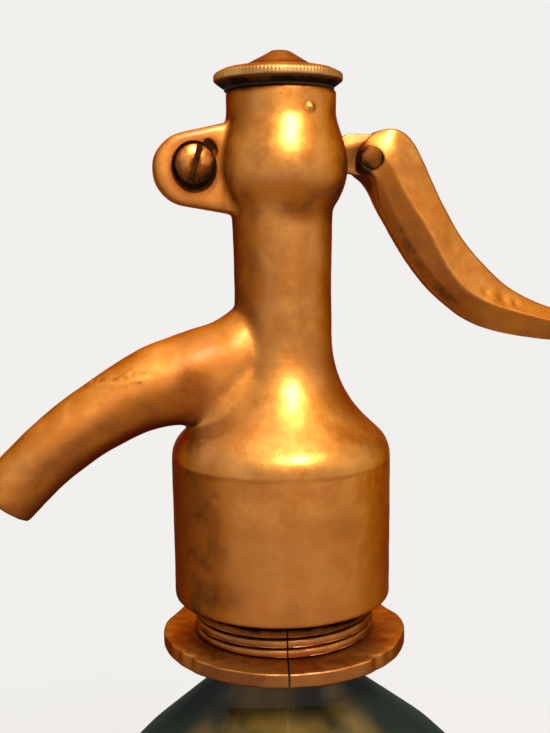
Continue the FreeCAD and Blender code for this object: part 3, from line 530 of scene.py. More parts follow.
# ------------------------------------------------------------------ cast head
# One casting: plain-bored skirt, domed shoulder, slim neck, round bulge and crown, with the
# spout and the pivot lug run into it by soft fillets and dressed by file and cloth.
HEAD_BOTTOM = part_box("head_body")[0].z / mm
HEAD_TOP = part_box("head_body")[1].z / mm
SPOUT_Z, SPOUT_BEND, SPOUT_TURN = 257.9, 73, 53
SPOUT_BORE = 3.9
PIVOT_X, PIVOT_Z = -18.2, 297.4
LUG_HALF = 4
GRAIN = 0.465 * mm
cast_metal = metal(
    "cast_metal", 0.06 * mm, (0.35, 0.25, 0.18, 1), bright=(0.55, 0.208, 0.026, 1),
    body=(0.415, 0.129, 0.008, 1), tarnish=(0.24, 0.068, 0.01, 1), grime=(0.04, 0.015, 0.004, 1),
    patch_scale=34.0, patch_amount=0.4, rough_low=0.37, rough_high=0.45, scratch_amount=0.5, pit_amount=0.6)


def swept(rings):
    """A solid through a run of rings of points, all of one count, closed at both ends."""
    bm = bmesh.new()
    loops = []
    for ring in rings:
        verts = [bm.verts.new(point * mm) for point in ring]
        loops.append([bm.edges.new((verts[i - 1], verts[i])) for i in range(len(verts))])
    for first, second in zip(loops, loops[1:]):
        bmesh.ops.bridge_loops(bm, edges=first + second)
    for loop in (loops[0], loops[-1]):
        bmesh.ops.contextual_create(bm, geom=loop)
    bmesh.ops.recalc_face_normals(bm, faces=bm.faces)
    return bm


def oval(above, below, half_width, count):
    """A ring of points between two (x, z) points of the middle plane, half_width to each side."""
    top, bottom = Vector(above), Vector(below)
    middle, reach = (top + bottom) / 2, (top - bottom) / 2
    ring = []
    for k in range(count):
        angle = math.tau * k / count
        at = middle + reach * math.cos(angle)
        ring.append(Vector((at.x, half_width * math.sin(angle), at.y)))
    return ring


def bevelled(bm, edges, width, segments=2):
    bmesh.ops.bevel(bm, geom=edges, offset=width * mm, segments=segments, profile=0.5, affect="EDGES",
                    material=-1, clamp_overlap=True)


def plate(points, half, bevel):
    """A flat plate with an outline in the XZ plane, half thick each way, with its edges rounded."""
    bm = bmesh.new()
    face = bm.faces.new([bm.verts.new((p[0] * mm, -half * mm, p[1] * mm)) for p in points])
    grown = bmesh.ops.extrude_face_region(bm, geom=[face])["geom"]
    far_side = [item for item in grown if isinstance(item, bmesh.types.BMVert)]
    bmesh.ops.translate(bm, verts=far_side, vec=(0, 2 * half * mm, 0))
    bmesh.ops.recalc_face_normals(bm, faces=bm.faces)
    bevelled(bm, [e for e in bm.edges if abs(e.verts[0].co.y - e.verts[1].co.y) < 1e-9], bevel, 3)
    return bm


def joined(parts):
    """One bmesh that holds all the parts."""
    whole = bmesh.new()
    for part in parts:
        mesh = bpy.data.meshes.new("part")
        part.to_mesh(mesh)
        part.free()
        whole.from_mesh(mesh)
        bpy.data.meshes.remove(mesh)
    return whole


def with_modifiers(bm, *steps):
    """The bmesh after modifiers. A step is (kind, settings); a bmesh in it becomes a helper object."""
    mesh = bpy.data.meshes.new("work")
    bm.to_mesh(mesh)
    bm.free()
    work = bpy.data.objects.new("work", mesh)
    scene.collection.objects.link(work)
    helpers = []
    for kind, settings in steps:
        modifier = work.modifiers.new(kind.lower(), kind)
        for title, value in settings.items():
            if isinstance(value, bmesh.types.BMesh):
                tool_mesh = bpy.data.meshes.new("tool")
                value.to_mesh(tool_mesh)
                value.free()
                value = bpy.data.objects.new("tool", tool_mesh)
                scene.collection.objects.link(value)
                helpers.append(value)
            setattr(modifier, title, value)
    bpy.context.view_layer.update()
    shape = bpy.data.meshes.new_from_object(work.evaluated_get(bpy.context.evaluated_depsgraph_get()))
    result = bmesh.new()
    result.from_mesh(shape)
    for helper in helpers + [work]:
        bpy.data.objects.remove(helper)
    return result


def cut(tool):
    return ("BOOLEAN", {"operation": "DIFFERENCE", "solver": "EXACT", "object": tool})


def soften(bm, passes, near):
    """Smooth the vertices near a place, pass by pass."""
    chosen = [vert for vert in bm.verts if near(vert.co / mm)]
    for _ in range(passes):
        bmesh.ops.smooth_vert(bm, verts=chosen, factor=0.5,
                              use_axis_x=True, use_axis_y=True, use_axis_z=True)


def flowing(rows, steps):
    """Rows of numbers, with others between them on a smooth run through them all."""
    result = []
    for i in range(len(rows) - 1):
        a, b, c, d = (Vector(rows[max(0, min(len(rows) - 1, k))]) for k in range(i - 1, i + 3))
        for k in range(steps):
            t = k / steps
            result.append(0.5 * (2 * b + (c - a) * t + (2 * a - 5 * b + 4 * c - d) * t * t
                                 + (3 * b - a - 3 * c + d) * t ** 3))
    return result + [Vector(rows[-1])]


def about_y(bm, x, z):
    """Turn a form made on the Z axis to face -Y, through (x, z)."""
    bmesh.ops.rotate(bm, verts=bm.verts, cent=(0, 0, 0), matrix=turned(90, "X"))
    bmesh.ops.translate(bm, verts=bm.verts, vec=(x * mm, 0, z * mm))
    return bm


def smooth_step(low, high, value):
    share = max(0.0, min(1.0, (value - low) / (high - low)))
    return share * share * (3 - 2 * share)


DOME_EDGE = HEAD_BOTTOM + 29.5
SKIRT, NECK_RADIUS, CROWN = 23.2, 10.25, 11.35
head_outline = rounded([
    (0, HEAD_BOTTOM - 0.7), (SKIRT, HEAD_BOTTOM - 0.7, 0.9), (SKIRT + 0.15, DOME_EDGE),
    (SKIRT + 0.1, DOME_EDGE + 3.5, 7),
    (NECK_RADIUS, DOME_EDGE + 15.6, 24), (NECK_RADIUS, 277, 60), (10.55, 288.3, 3.5), (15.1, 294.9, 14),
    (CROWN, 307, 7), (CROWN, HEAD_TOP, 0.4), (0, HEAD_TOP),
], 5)
# Along the spout: a point on top (x, z), one below (x, z) and half its width.
SPOUT_RUN = (
    (-3.0, 273.5, -4.0, 241.0, 7.4), (-9.8, 268.5, -12.0, 241.5, 8.0),
    (-14.7, 265.2, -17.4, 242.8, 8.1), (-19.6, 263.8, -20.5, 243.6, 8.0),
    (-25.1, 261.9, -22.9, 243.7, 7.9), (-30.7, 259.6, -25.5, 243.4, 7.7),
    (-35.5, 256.9, -29.2, 242.5, 7.3), (-40.5, 253.6, -33.2, 240.7, 6.9),
    (-45.8, 250.1, -37.8, 238.4, 6.5), (-50.8, 246.2, -42.0, 235.6, 6.2),
    (-55.5, 242.0, -45.9, 232.6, 6.0), (-59.9, 237.6, -49.7, 229.0, 5.9),
    (-63.8, 232.9, -53.6, 225.1, 5.8),
)
lug_outline = rounded([
    (0, 308.4), (-26.4, 302.6, 6.6), (-26.4, 290.2, 7.2), (0, 285.4),
], 8)
SPOUT_CREASE = vectors(
    (-9.6, 0, 267.8), (-8.9, -2.9, 264.9), (-8.0, -4.9, 262.4), (-7.2, -6.3, 259.5), (-7.0, -7.0, 256.3),
    (-7.4, -7.5, 253.2), (-8.8, -7.9, 250.2), (-11.0, -8.0, 247.8), (-14.5, -7.0, 245.6),
    (-17.5, -4.0, 244.6))


def off_line(at, line):
    """How far a place is from a run of points."""
    best = 1e9
    for start, end in zip(line, line[1:]):
        along = end - start
        share = max(0.0, min(1.0, (at - start).dot(along) / along.length_squared))
        best = min(best, (at - start - along * share).length)
    return best


def by_root(width, first):
    """A test for places within width of the spout's crease, from one of its points on down."""
    return lambda at: (at.x < -4 and 240.5 < at.z < 262
                       and off_line(Vector((at.x, -abs(at.y), at.z)), SPOUT_CREASE[first:]) < width)


spout = swept([oval(row[0:2], row[2:4], row[4], 64) for row in flowing(SPOUT_RUN, 4)])
head = joined([spun(head_outline, 160), spout, plate(lug_outline, LUG_HALF, 1.3)])
head = with_modifiers(head, ("REMESH", {"mode": "VOXEL", "voxel_size": GRAIN, "adaptivity": 0.0}))
soften(head, 2, lambda at: True)
soften(head, 3, lambda at: at.x < -24)
soften(head, 4, lambda at: (-22 < at.x < 4 and 240 < at.z < 272
                            and math.hypot(at.x, at.y) > 8.8 and at.y < 10))
for passes, width, first in ((7, 2.2, 3), (10, 3.0, 4), (24, 6.0, 6), (49, 5.0, 6), (73, 4.0, 6)):
    soften(head, passes, by_root(width, first))
soften(head, 4, lambda at: -14 < at.x < -8 and abs(at.z - PIVOT_Z) < 13 and 2.5 < abs(at.y) < 9)

SCAR = vectors(
    (-39.3, -1.8, 253.6), (-37.4, -3.2, 254.0), (-35.2, -4.7, 254.3), (-33.2, -5.2, 254.5),
    (-32.0, -5.6, 255.1), (-29.6, -6.1, 255.4), (-28.0, -6.4, 255.7))
BUBBLE = Vector((3.75, -10.7, 308.1))
DENTS = ((Vector((-16.6, -15.8, 231.6)), 0.9, 0.25), (Vector((14.5, -17.8, 233.4)), 0.7, 0.12),
         (Vector((-6.6, -12.5, 299.0)), 1.2, 0.12), (Vector((3.5, -22.6, 222)), 1.6, 0.1),
         (Vector((9.0, -21.0, 214)), 1.3, 0.1), (Vector((-9.0, -21.0, 212)), 2.2, 0.1))

fine = [edge for edge in head.edges if edge.verts[0].co.y < 0 and (
    off_line(edge.verts[0].co / mm, SCAR) < 1.5 or (edge.verts[0].co / mm - BUBBLE).length < 2)]
bmesh.ops.subdivide_edges(head, edges=fine, cuts=2, use_grid_fill=True)


def pushed(bm, rise, dents):
    """Each vertex moves along its normal by rise(place) millimetres, less the dents round it."""
    bm.normal_update()
    moves = []
    for vert in bm.verts:
        at = vert.co / mm
        height = rise(at)
        for place, width, depth in dents:
            gap = (at - place).length
            if gap < 3 * width:
                height -= depth * math.exp(-(gap / width) ** 2)
        moves.append(vert.normal * height * mm)
    for vert, move in zip(bm.verts, moves):
        vert.co += move


def cast_rise(at):
    """Cloth-worn waves, the scar on the spout, the crease at its root and a casting bubble."""
    rise = 0.07 * noise.noise(at / 7.5) + 0.035 * noise.noise(at / 2.6 + Vector((9, 0, 0)))
    if at.x < -24 and at.y < 0 and at.z > 250:
        gap = off_line(at, SCAR) + 0.25 * noise.noise(at / 1.3)
        deep = (0.2 + 0.18 * noise.noise(at / 2.1)) * smooth_step(-27.6, -30.5, at.x)
        rise -= deep * math.exp(-(gap / 0.42) ** 2)
        lip = 0.12 * smooth_step(-27.6, -31.0, at.x) * (1 if at.y < -5 or at.z < 254 else 0.3)
        rise += lip * math.exp(-((gap - 1.2) / 0.6) ** 2)
    if -16 < at.x < -4 and 246 < at.z < 270:
        gap = off_line(Vector((at.x, -abs(at.y), at.z)), SPOUT_CREASE[:6])
        rise -= 0.12 * math.exp(-(gap / 0.8) ** 2)
    if at.z > 305 and at.y < 0:
        rise += 0.45 * math.exp(-((at - BUBBLE).length / 0.8) ** 2)
    return rise


pushed(head, cast_rise, DENTS)
for vert in head.verts:
    at = vert.co / mm
    lean = 0.75 * smooth_step(DOME_EDGE, 262, at.z) - 0.35
    vert.co.x += lean * mm * smooth_step(-28, -24.5, at.x)

bore_rings = []
for turn in range(0, SPOUT_TURN + 4, 3):
    out = Vector((-math.sin(math.radians(turn)), math.cos(math.radians(turn))))
    centre = Vector((0, SPOUT_Z - SPOUT_BEND)) + out * SPOUT_BEND
    bore_rings.append(oval(centre + out * SPOUT_BORE, centre - out * SPOUT_BORE, SPOUT_BORE, 32))
SKIRT_BORE, CHAMBER, GALLERY, PLUNGER_BORE, CAP_BORE = 19.6, 10, 5.5, 7, 8.6
SKIRT_ROOF, CHAMBER_ROOF, PLUNGER_FLOOR, CAP_SEAT = HEAD_BOTTOM + 11.5, HEAD_BOTTOM + 30.5, 266.5, 305.4
hollow_outline = vectors(
    (0, HEAD_BOTTOM - 2), (SKIRT_BORE, HEAD_BOTTOM - 2), (SKIRT_BORE, SKIRT_ROOF), (CHAMBER, SKIRT_ROOF),
    (CHAMBER, CHAMBER_ROOF), (GALLERY, CHAMBER_ROOF), (GALLERY, PLUNGER_FLOOR),
    (PLUNGER_BORE, PLUNGER_FLOOR), (PLUNGER_BORE, CAP_SEAT), (CAP_BORE, CAP_SEAT),
    (CAP_BORE, HEAD_TOP + 1), (0, HEAD_TOP + 1),
)
RECESS_X, RECESS_Z, RECESS_FLOOR = -18.4, 296.8, 2.7
NICK_X, NICK_Z, SLOT_HALF = -15.0, 300.6, 1.72
recess = about_y(spun(vectors(
    (0, RECESS_FLOOR), (4.5, RECESS_FLOOR), (5.1, LUG_HALF - 0.2), (5.3, LUG_HALF + 1),
    (0, LUG_HALF + 1)), 64), RECESS_X, RECESS_Z)
bmesh.ops.scale(recess, verts=recess.verts, vec=(0.9, 1, 1.02), space=Matrix.Translation(
    (-RECESS_X * mm, 0, -RECESS_Z * mm)))
nick = about_y(spun(vectors((0, 3.1), (1.1, 3.1), (1.6, 3.7), (1.8, 5), (0, 5)), 24), 0, 0)
bmesh.ops.scale(nick, verts=nick.verts, vec=(0.8, 1, 1.25))
bmesh.ops.rotate(nick, verts=nick.verts, cent=(0, 0, 0), matrix=turned(-28, "Y"))
bmesh.ops.translate(nick, verts=nick.verts, vec=(NICK_X * mm, 0, NICK_Z * mm))
screw_hole = about_y(spun(vectors((0, -6), (1.95, -6), (1.95, 3), (0, 3)), 24), PIVOT_X, PIVOT_Z)
arm_slot = vectors((-22.4, PIVOT_Z + 4.15), (-22.4, PIVOT_Z - 4.15), (15.4, 289.6), (15.4, 304.4))
head = with_modifiers(
    head, cut(spun(hollow_outline, 96)), cut(swept(bore_rings)), cut(plate(arm_slot, SLOT_HALF, 0.01)),
    cut(recess), cut(nick), cut(screw_hole))

LUG_CREASE = vectors((-10.8, -4.2, 306.2), (-12.0, -4.5, 302.0), (-12.8, -4.6, 297.6),
                     (-11.6, -4.5, 292.5), (-9.6, -4.3, 287.2))


def head_grime_shade_and_light(at, normal):
    """How dark the casting is. Painted shade on faces that look down, along the spout's and the lug's
    creases, under the spout, in the screw's recess and nick, low on the lug, on the lower bulge with
    tarnish blotches, and on the spout's side of the neck; painted shadow under the cap; dirt in the
    scar; darker bands with blotches on the barrel and the neck, and a dark ring round the bubble.
    The dome's sides and the place under the spout are painted lighter."""
    front = Vector((at.x, -abs(at.y), at.z))
    blotch = noise.noise(at / 9 + Vector((3, 5, 1)))
    spout = smooth_step(-21, -26, at.x)
    # Painted shade: faces that look down, low on the head, are darker.
    dirt_and_shade = 0.2 * smooth_step(0.6, 0.95, -normal.z) * smooth_step(280, 275, at.z)
    # The spout is a little darker all over, and painted shade darkens its underside.
    dirt_and_shade += smooth_step(-13, -19, at.x) * smooth_step(264, 260, at.z) * (
        0.08 + 0.34 * smooth_step(-0.45, 0.2, -normal.z))
    if at.x < -5 and 242 < at.z < 270:
        # Painted shade along the crease where the spout meets the neck.
        dirt_and_shade += 0.35 * math.exp(-(off_line(front, SPOUT_CREASE[:6]) / 0.7) ** 2)
        # Painted shadow in the gap under the spout, on faces that look down.
        gap = (at - Vector((-18.5, at.y, 243.6))).length
        dirt_and_shade += 0.7 * math.exp(-(gap / 1.8) ** 2) * smooth_step(0.2, -0.5, normal.z)
    if at.x < -8 and at.z > 284:
        # Painted shade along the crease where the lug meets the crown.
        dirt_and_shade += 0.4 * math.exp(-(off_line(front, LUG_CREASE) / 0.8) ** 2)
    if at.x < -24 and at.y < 0 and at.z > 250:
        ragged = smooth_step(-27.6, -31.0, at.x) * (0.17 + 0.3 * noise.noise(at / 1.4 + Vector((2, 0, 0))))
        dirt_and_shade += ragged * math.exp(-((off_line(at, SCAR) + 0.25 * noise.noise(at / 1.1)) / 0.5) ** 2)
    if at.z > 288 and at.x < -12 and at.y < 0:
        # Painted shade in the screw's recess, darkest low in it, and in the nick above it.
        out = math.hypot((at.x - RECESS_X) / 0.9, at.z - RECESS_Z)
        low = smooth_step(3, -2, at.z - RECESS_Z + 0.5 * (at.x - RECESS_X))
        dirt_and_shade += (0.45 + 0.5 * low) * smooth_step(5.5, 4.6, out) + 0.2 * smooth_step(7.0, 5.4, out)
        dirt_and_shade += 0.8 * math.exp(-(math.hypot(at.x - NICK_X, at.z - NICK_Z) / 2.0) ** 2)
        # Painted shade: the lug is darker towards its bottom.
        dirt_and_shade += 0.16 * smooth_step(PIVOT_Z + 2, PIVOT_Z - 5, at.z)
    # Painted shadow under the cap, at the top of the crown.
    dirt_and_shade += 0.55 * smooth_step(HEAD_TOP - 1.6, HEAD_TOP - 0.2, at.z)
    if at.z > 305:
        dirt_and_shade += 0.3 * math.exp(-(((at - BUBBLE).length - 1.2) / 0.4) ** 2)
    # Tarnish blotches and painted shade on the lower half of the bulge.
    under = smooth_step(297, 291, at.z) * smooth_step(284, 288, at.z) * smooth_step(-14, -12, at.x)
    dirt_and_shade += 0.5 * under * (0.8 + blotch)
    barrel = smooth_step(DOME_EDGE + 0.2, DOME_EDGE - 0.1, at.z)
    barrel *= 0.08 + 0.12 * smooth_step(DOME_EDGE - 2, DOME_EDGE - 12, at.z) + 0.2 * max(0.0, blotch)
    barrel += 0.16 * math.exp(-((DOME_EDGE - 0.2 - at.z) / 0.5) ** 2)
    neck = smooth_step(249, 257, at.z) * smooth_step(289, 284, at.z) * (0.12 + 0.2 * max(0.0, blotch))
    # Painted shade on the spout's side of the neck, less on the bulge.
    shade = 0.36 * smooth_step(252, 266, at.z) * smooth_step(-0.45, -0.85, normal.x)
    shade *= smooth_step(-13, -10.5, at.x)
    shade *= 1 - 0.6 * smooth_step(289, 293, at.z) * smooth_step(305, 301, at.z)
    # Painted light: the dome's sides and the place under the spout are made lighter.
    dome = smooth_step(DOME_EDGE, DOME_EDGE + 0.5, at.z) * smooth_step(DOME_EDGE + 16, DOME_EDGE + 8, at.z)
    painted_dome_light = 0.3 * dome * smooth_step(0.15, 0.6, abs(normal.x))
    painted_dome_light *= smooth_step(-21, -19, at.x - 0.3 * (at.z - 240))
    if normal.z > 0:
        painted_dome_light += 0.5 * math.exp(-((at - Vector((-18.5, -9, 240.5))).length / 5.5) ** 4)
    return dirt_and_shade + shade + (1 - spout) * (barrel + neck) - painted_dome_light


def head_dull(at, normal):
    """Matt on the spout and the lug, half matt on the barrel."""
    lug = smooth_step(284, 288, at.z) * smooth_step(-11, -14, at.x)
    spout = smooth_step(-7, -14, at.x) * smooth_step(275, 270, at.z)
    spout *= smooth_step(244, 250, at.z - 0.2 * at.x - 4)
    return max(lug, spout, 0.5 * smooth_step(DOME_EDGE + 0.2, DOME_EDGE - 0.4, at.z))


finished(head, "cast_head", cast_metal, "siphon", ["head_body"], 40, head_grime_shade_and_light, head_dull)


# ------------------------------------------------------------------ screw cap
# A turned cap with a thin knurled brim and a low pointed button, with painted shadow nearly
# black under the brim that fades out up its side, leaving the top of the brim light.
CAP_BASE = HEAD_TOP + 0.5
NOTCHES, NOTCH_DEPTH, RIM = 110, 0.09, 13.35
cap_brass = metal(
    "cap_brass", 0.03 * mm, (0.3, 0.22, 0.15, 1), bright=(0.53, 0.28, 0.08, 1), body=(0.36, 0.165, 0.04, 1),
    tarnish=(0.15, 0.055, 0.012, 1), grime=(0.014, 0.007, 0.004, 1), patch_scale=110.0, patch_amount=0.4,
    rough_low=0.28, rough_high=0.42, scratch_amount=0.4, pit_amount=0.5)
cap_outline = rounded([
    (0, 305.6), (8.55, 305.6), (8.55, CAP_BASE), (11.2, CAP_BASE), (11.6, CAP_BASE + 0.15, 0.2),
    (RIM, CAP_BASE + 1.4, 0.6), (RIM, CAP_BASE + 2.7, 0.8), (11.2, CAP_BASE + 3.75, 2.5),
    (8.5, CAP_BASE + 3.75, 1.5), (1.9, CAP_BASE + 7.45, 1.2), (0, CAP_BASE + 7.65),
], 8)
bm = spun(divided(cap_outline, 0.5), NOTCHES * 5)
for vert in bm.verts:
    radius = math.hypot(vert.co.x, vert.co.y) / mm
    if radius > RIM - 1:
        wave = 0.5 + 0.5 * math.cos(math.atan2(vert.co.y, vert.co.x) * NOTCHES)
        share = 1 - NOTCH_DEPTH * wave * (radius - RIM + 1) / radius
        vert.co.x *= share
        vert.co.y *= share
    vert.co.x += (0.5 * smooth_step(CAP_BASE + 3.9, CAP_BASE + 7.4, vert.co.z / mm) - 0.2) * mm
shift_skin(bm, 0.07 * mm, 3 * mm, 8)


def cap_shade_and_grime(at, normal):
    """Painted shadow, black below the brim and fading out up its side to a light top; inside the brim a
    plain darker tone with a darker ring round the button's foot.
    """
    radius = math.hypot(at.x, at.y)
    # Painted shadow: black under the brim, fading out up its side.
    if radius > 9.5:
        return 0.98 - 0.95 * smooth_step(CAP_BASE + 0.4, CAP_BASE + 1.8, at.z)
    return 0.26 + 0.2 * math.exp(-((radius - 7.6) / 1.0) ** 2)


finished(bm, "screw_cap", cap_brass, "siphon", ["top_cap"], 40, cap_shade_and_grime,
         lambda at, normal: 0.6)


# ------------------------------------------------------------------ thumb lever
# A cast handle with filed flats: a thin bevel inside the bend, a broad side and a broad outer
# bevel. Its round end is forked over the arm and turns on the cross pin.
HANDLE_HALF, UNDER_HALF = 5.3, 3.9
PIN_X, PIN_Z, FORK_HALF = 18.5, 298.7, 1.65
# Down the handle from the pin: a point inside the bend, one outside it, the width of the
# thin bevel, the share of the way across where the broad bevel starts and half its outer width.
RIBS = (
    ((15.7, 297.2), (15.9, 299.9), 0.5, 0.6, 3.2), ((16.2, 295.7), (17.3, 302.0), 0.9, 0.6, 3.2),
    ((17.3, 294.9), (19.9, 304.2), 1.0, 0.5, 3.2), ((18.2, 294.3), (23.6, 305.4), 1.1, 0.45, 3.1),
    ((18.9, 293.5), (27.2, 303.6), 1.2, 0.42, 2.8), ((19.7, 292.4), (29.6, 300.1), 1.2, 0.42, 2.3),
    ((20.8, 290.2), (31.9, 295.6), 1.2, 0.45, 1.9), ((22.5, 286.9), (33.7, 292.1), 1.2, 0.49, 1.7),
    ((24.6, 283.5), (35.1, 289.5), 1.2, 0.52, 1.7), ((26.5, 280.2), (36.7, 286.6), 1.2, 0.53, 1.7),
    ((28.9, 276.7), (38.5, 283.6), 1.2, 0.5, 1.7), ((31.6, 273.2), (40.7, 280.5), 1.2, 0.45, 1.7),
    ((34.9, 269.8), (43.1, 277.9), 1.3, 0.41, 1.7), ((38.5, 266.7), (45.8, 275.0), 1.5, 0.43, 1.7),
    ((42.9, 263.9), (49.2, 272.1), 1.8, 0.52, 1.7), ((48.2, 261.8), (53.0, 269.5), 2.1, 0.62, 1.7),
    ((55.4, 260.3), (57.9, 267.4), 2.1, 0.63, 1.7), ((61.6, 259.5), (62.9, 265.6), 2.0, 0.62, 1.7),
    ((68.4, 258.5), (69.4, 264.3), 1.7, 0.6, 1.7), ((77.0, 257.8), (77.5, 263.5), 1.5, 0.57, 1.7),
    ((84.4, 257.6), (84.6, 263.0), 1.3, 0.57, 1.7), ((85.9, 258.9), (85.9, 261.7), 0.6, 0.57, 1.7),
)


def lever_ring(inside, outside, bevel, side_end, top, narrow, pinch):
    """One filed cross-section: ten corners, mirrored about the middle plane. pinch thins its inner edge."""
    low, high = Vector(inside), Vector(outside)
    span = (high - low).length
    low -= (high - low) * 0.7 * pinch / span
    bevel, side_end = bevel * (1 - 0.6 * pinch), side_end - 0.05 * pinch
    under, edge = UNDER_HALF + (1.2 - UNDER_HALF) * pinch, HANDLE_HALF + (1.9 - HANDLE_HALF) * pinch
    flats = ((0.0, under), (bevel / span, edge), (side_end, HANDLE_HALF), (0.97, top + 0.5), (1.0, top))
    half = [(low.lerp(high, reach), y * narrow) for reach, y in flats]
    return [Vector((at.x, y, at.y)) for at, y in half + [(at, -y) for at, y in reversed(half)]]


ends = (0, len(RIBS) - 1)
handle = swept([lever_ring(*rib, 0.78 if i in ends else 1, smooth_step(3, 7, i) * smooth_step(19, 14, i))
                for i, rib in enumerate(RIBS)])
handle.verts.index_update()
crease = handle.edges.layers.float.new("crease_edge")
for edge in handle.edges:
    if len(edge.link_faces) == 2 and edge.verts[0].index // 10 != edge.verts[1].index // 10:
        edge[crease] = 0.75 if edge.calc_face_angle() > math.radians(12) else 0.0
handle = with_modifiers(handle, ("SUBSURF", {"levels": 4, "render_levels": 4}))
LEVER_DENTS = ((Vector((23.4, -2.8, 304.6)), 0.5, 0.3), (Vector((44.5, -4.6, 270.6)), 1.0, 0.3),
               (Vector((48.5, -4.2, 268.9)), 1.3, 0.3), (Vector((51.5, -4.0, 267.9)), 0.9, 0.25),
               (Vector((36.5, -4.4, 280.0)), 1.6, 0.12), (Vector((30.0, -4.6, 291.0)), 1.8, 0.12))
pushed(handle, lambda at: 0.1 * noise.noise(at / 5.5 + Vector((4, 0, 0))) + 0.04 * noise.noise(at / 1.9),
       LEVER_DENTS)
for vert in handle.verts:
    at = vert.co / mm
    vert.co.y *= 1 - 0.066 * max(0.0, at.z - 299.2) * smooth_step(24.5, 18.5, at.x)
fork = plate(vectors((10, 294.9), (24.2, 294.9), (24.2, 303.9), (10, 303.9)), FORK_HALF, 0.01)
fork_mouth = plate(vectors((10, 290), (19.5, 290), (21.5, 308), (10, 308)), FORK_HALF, 0.01)
pin_hole = about_y(spun(vectors((0, -7), (2.35, -7), (2.35, 7), (0, 7)), 48), PIN_X, PIN_Z)
handle = with_modifiers(handle, cut(fork), cut(fork_mouth), cut(pin_hole))
THIN_BEVEL = [Vector((low[0], 0, low[1])).lerp(Vector((high[0], 0, high[1])), 0.05)
              for low, high, *_ in RIBS]


def lever_grime_and_shade(at, normal):
    """Darker below the knob and round the pin; painted shade on the filed sides and on the face inside the
    bend.
    """
    side = abs(normal.y)
    dirt_and_shade = 0.17 * smooth_step(300, 296, at.z)
    # Painted shade on the filed sides.
    dirt_and_shade += 0.2 * smooth_step(0.5, 0.75, side) * smooth_step(0.25, -0.05, normal.x)
    near_pin = math.hypot(at.x - PIN_X, at.z - PIN_Z)
    dirt_and_shade += 0.7 * smooth_step(4.0, 2.6, near_pin) * smooth_step(19.5, 16.5, at.x)
    dirt_and_shade += 0.6 * smooth_step(2.9, 2.35, near_pin)
    off_bevel = off_line(Vector((at.x, 0, at.z)), THIN_BEVEL)
    # Painted shade on the face inside the bend.
    if off_bevel < 2 and normal.x < 0.6 and at.z < 298:
        inside = (0.3 + 0.2 * smooth_step(0.75, 0.4, side)) * smooth_step(0.98, 0.9, side)
        dirt_and_shade += inside * smooth_step(1.1, 0.5, off_bevel) * smooth_step(46, 32, at.x)
    return dirt_and_shade


finished(handle, "thumb_lever", cast_metal, "lever", ["lever_handle"], 30, lever_grime_and_shade,
         lambda at, normal: 0.4 * smooth_step(300, 294, at.z))


# ------------------------------------------------------------------ pieces that keep their turned shape
# The screw has a cut slot, and the arm and the pin keep the frame's shapes with their edges broken.
# The rest, inside the head and the neck, are shown as they are with their own finish, and the
# spring gets a mesh of its own.
GROOVE_LEAN = 16


def eased(node, name, material, body, width, grime):
    """A copy of a frame node with its sharp edges bevelled."""
    bm = bmesh.new()
    bm.from_mesh(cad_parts[node].data)
    bmesh.ops.remove_doubles(bm, verts=bm.verts, dist=0.001 * mm)
    bmesh.ops.dissolve_limit(bm, angle_limit=math.radians(1), verts=bm.verts, edges=bm.edges)
    sharp = [e for e in bm.edges if len(e.link_faces) == 2 and e.calc_face_angle() > math.radians(40)]
    bevelled(bm, sharp, width)
    finished(bm, name, material, body, [node], 40, grime)


screw_brass = metal(
    "screw_brass", 0.04 * mm, (0.3, 0.2, 0.1, 1), bright=(0.7, 0.28, 0.03, 1), body=(0.38, 0.12, 0.012, 1),
    tarnish=(0.13, 0.03, 0.005, 1), grime=(0.018, 0.006, 0.002, 1), patch_scale=260.0, patch_amount=0.7,
    rough_low=0.28, rough_high=0.45, scratch_amount=0.4, pit_amount=0.7)
screw = spun(rounded([
    (0, -4.1), (1.9, -4.1, 0.2), (1.9, RECESS_FLOOR + 0.1), (4.15, RECESS_FLOOR + 0.1), (4.15, 3.9, 0.5),
    (2.2, 4.65, 4), (0, 4.72)]), 64)
groove = bmesh.new()
bmesh.ops.create_cube(groove, size=1)
bmesh.ops.scale(groove, verts=groove.verts, vec=(1.0 * mm, 12 * mm, 2.4 * mm))
bmesh.ops.rotate(groove, verts=groove.verts, cent=(0, 0, 0), matrix=turned(-GROOVE_LEAN, "Z"))
bmesh.ops.translate(groove, verts=groove.verts, vec=(0, 0, 5.0 * mm))
screw = with_modifiers(screw, cut(groove))
sharp = [e for e in screw.edges if len(e.link_faces) == 2 and e.calc_face_angle() > math.radians(50)
         and min(v.co.z for v in e.verts) > 3 * mm]
bevelled(screw, sharp, 0.1)
about_y(screw, PIVOT_X, PIVOT_Z)


def screw_grime_and_shade(at, normal):
    """Painted shade in the slot, round the rim and on the lower part of the head, with a few dirt blotches.
    """
    out = Vector((at.x - PIVOT_X, at.z - PIVOT_Z))
    lean = math.radians(GROOVE_LEAN)
    across = abs(out.x * math.cos(lean) - out.y * math.sin(lean))
    # Painted shade in the slot, round the rim and on the lower part of the head.
    dirt_and_shade = 0.8 * smooth_step(0.8, 0.45, across)
    dirt_and_shade += 0.7 * smooth_step(3.3, 4.2, out.length) + 0.75 * smooth_step(0.6, -2.6, out.y - out.x * 0.2)
    return dirt_and_shade + 0.5 * max(0.0, noise.noise(at / 1.2))


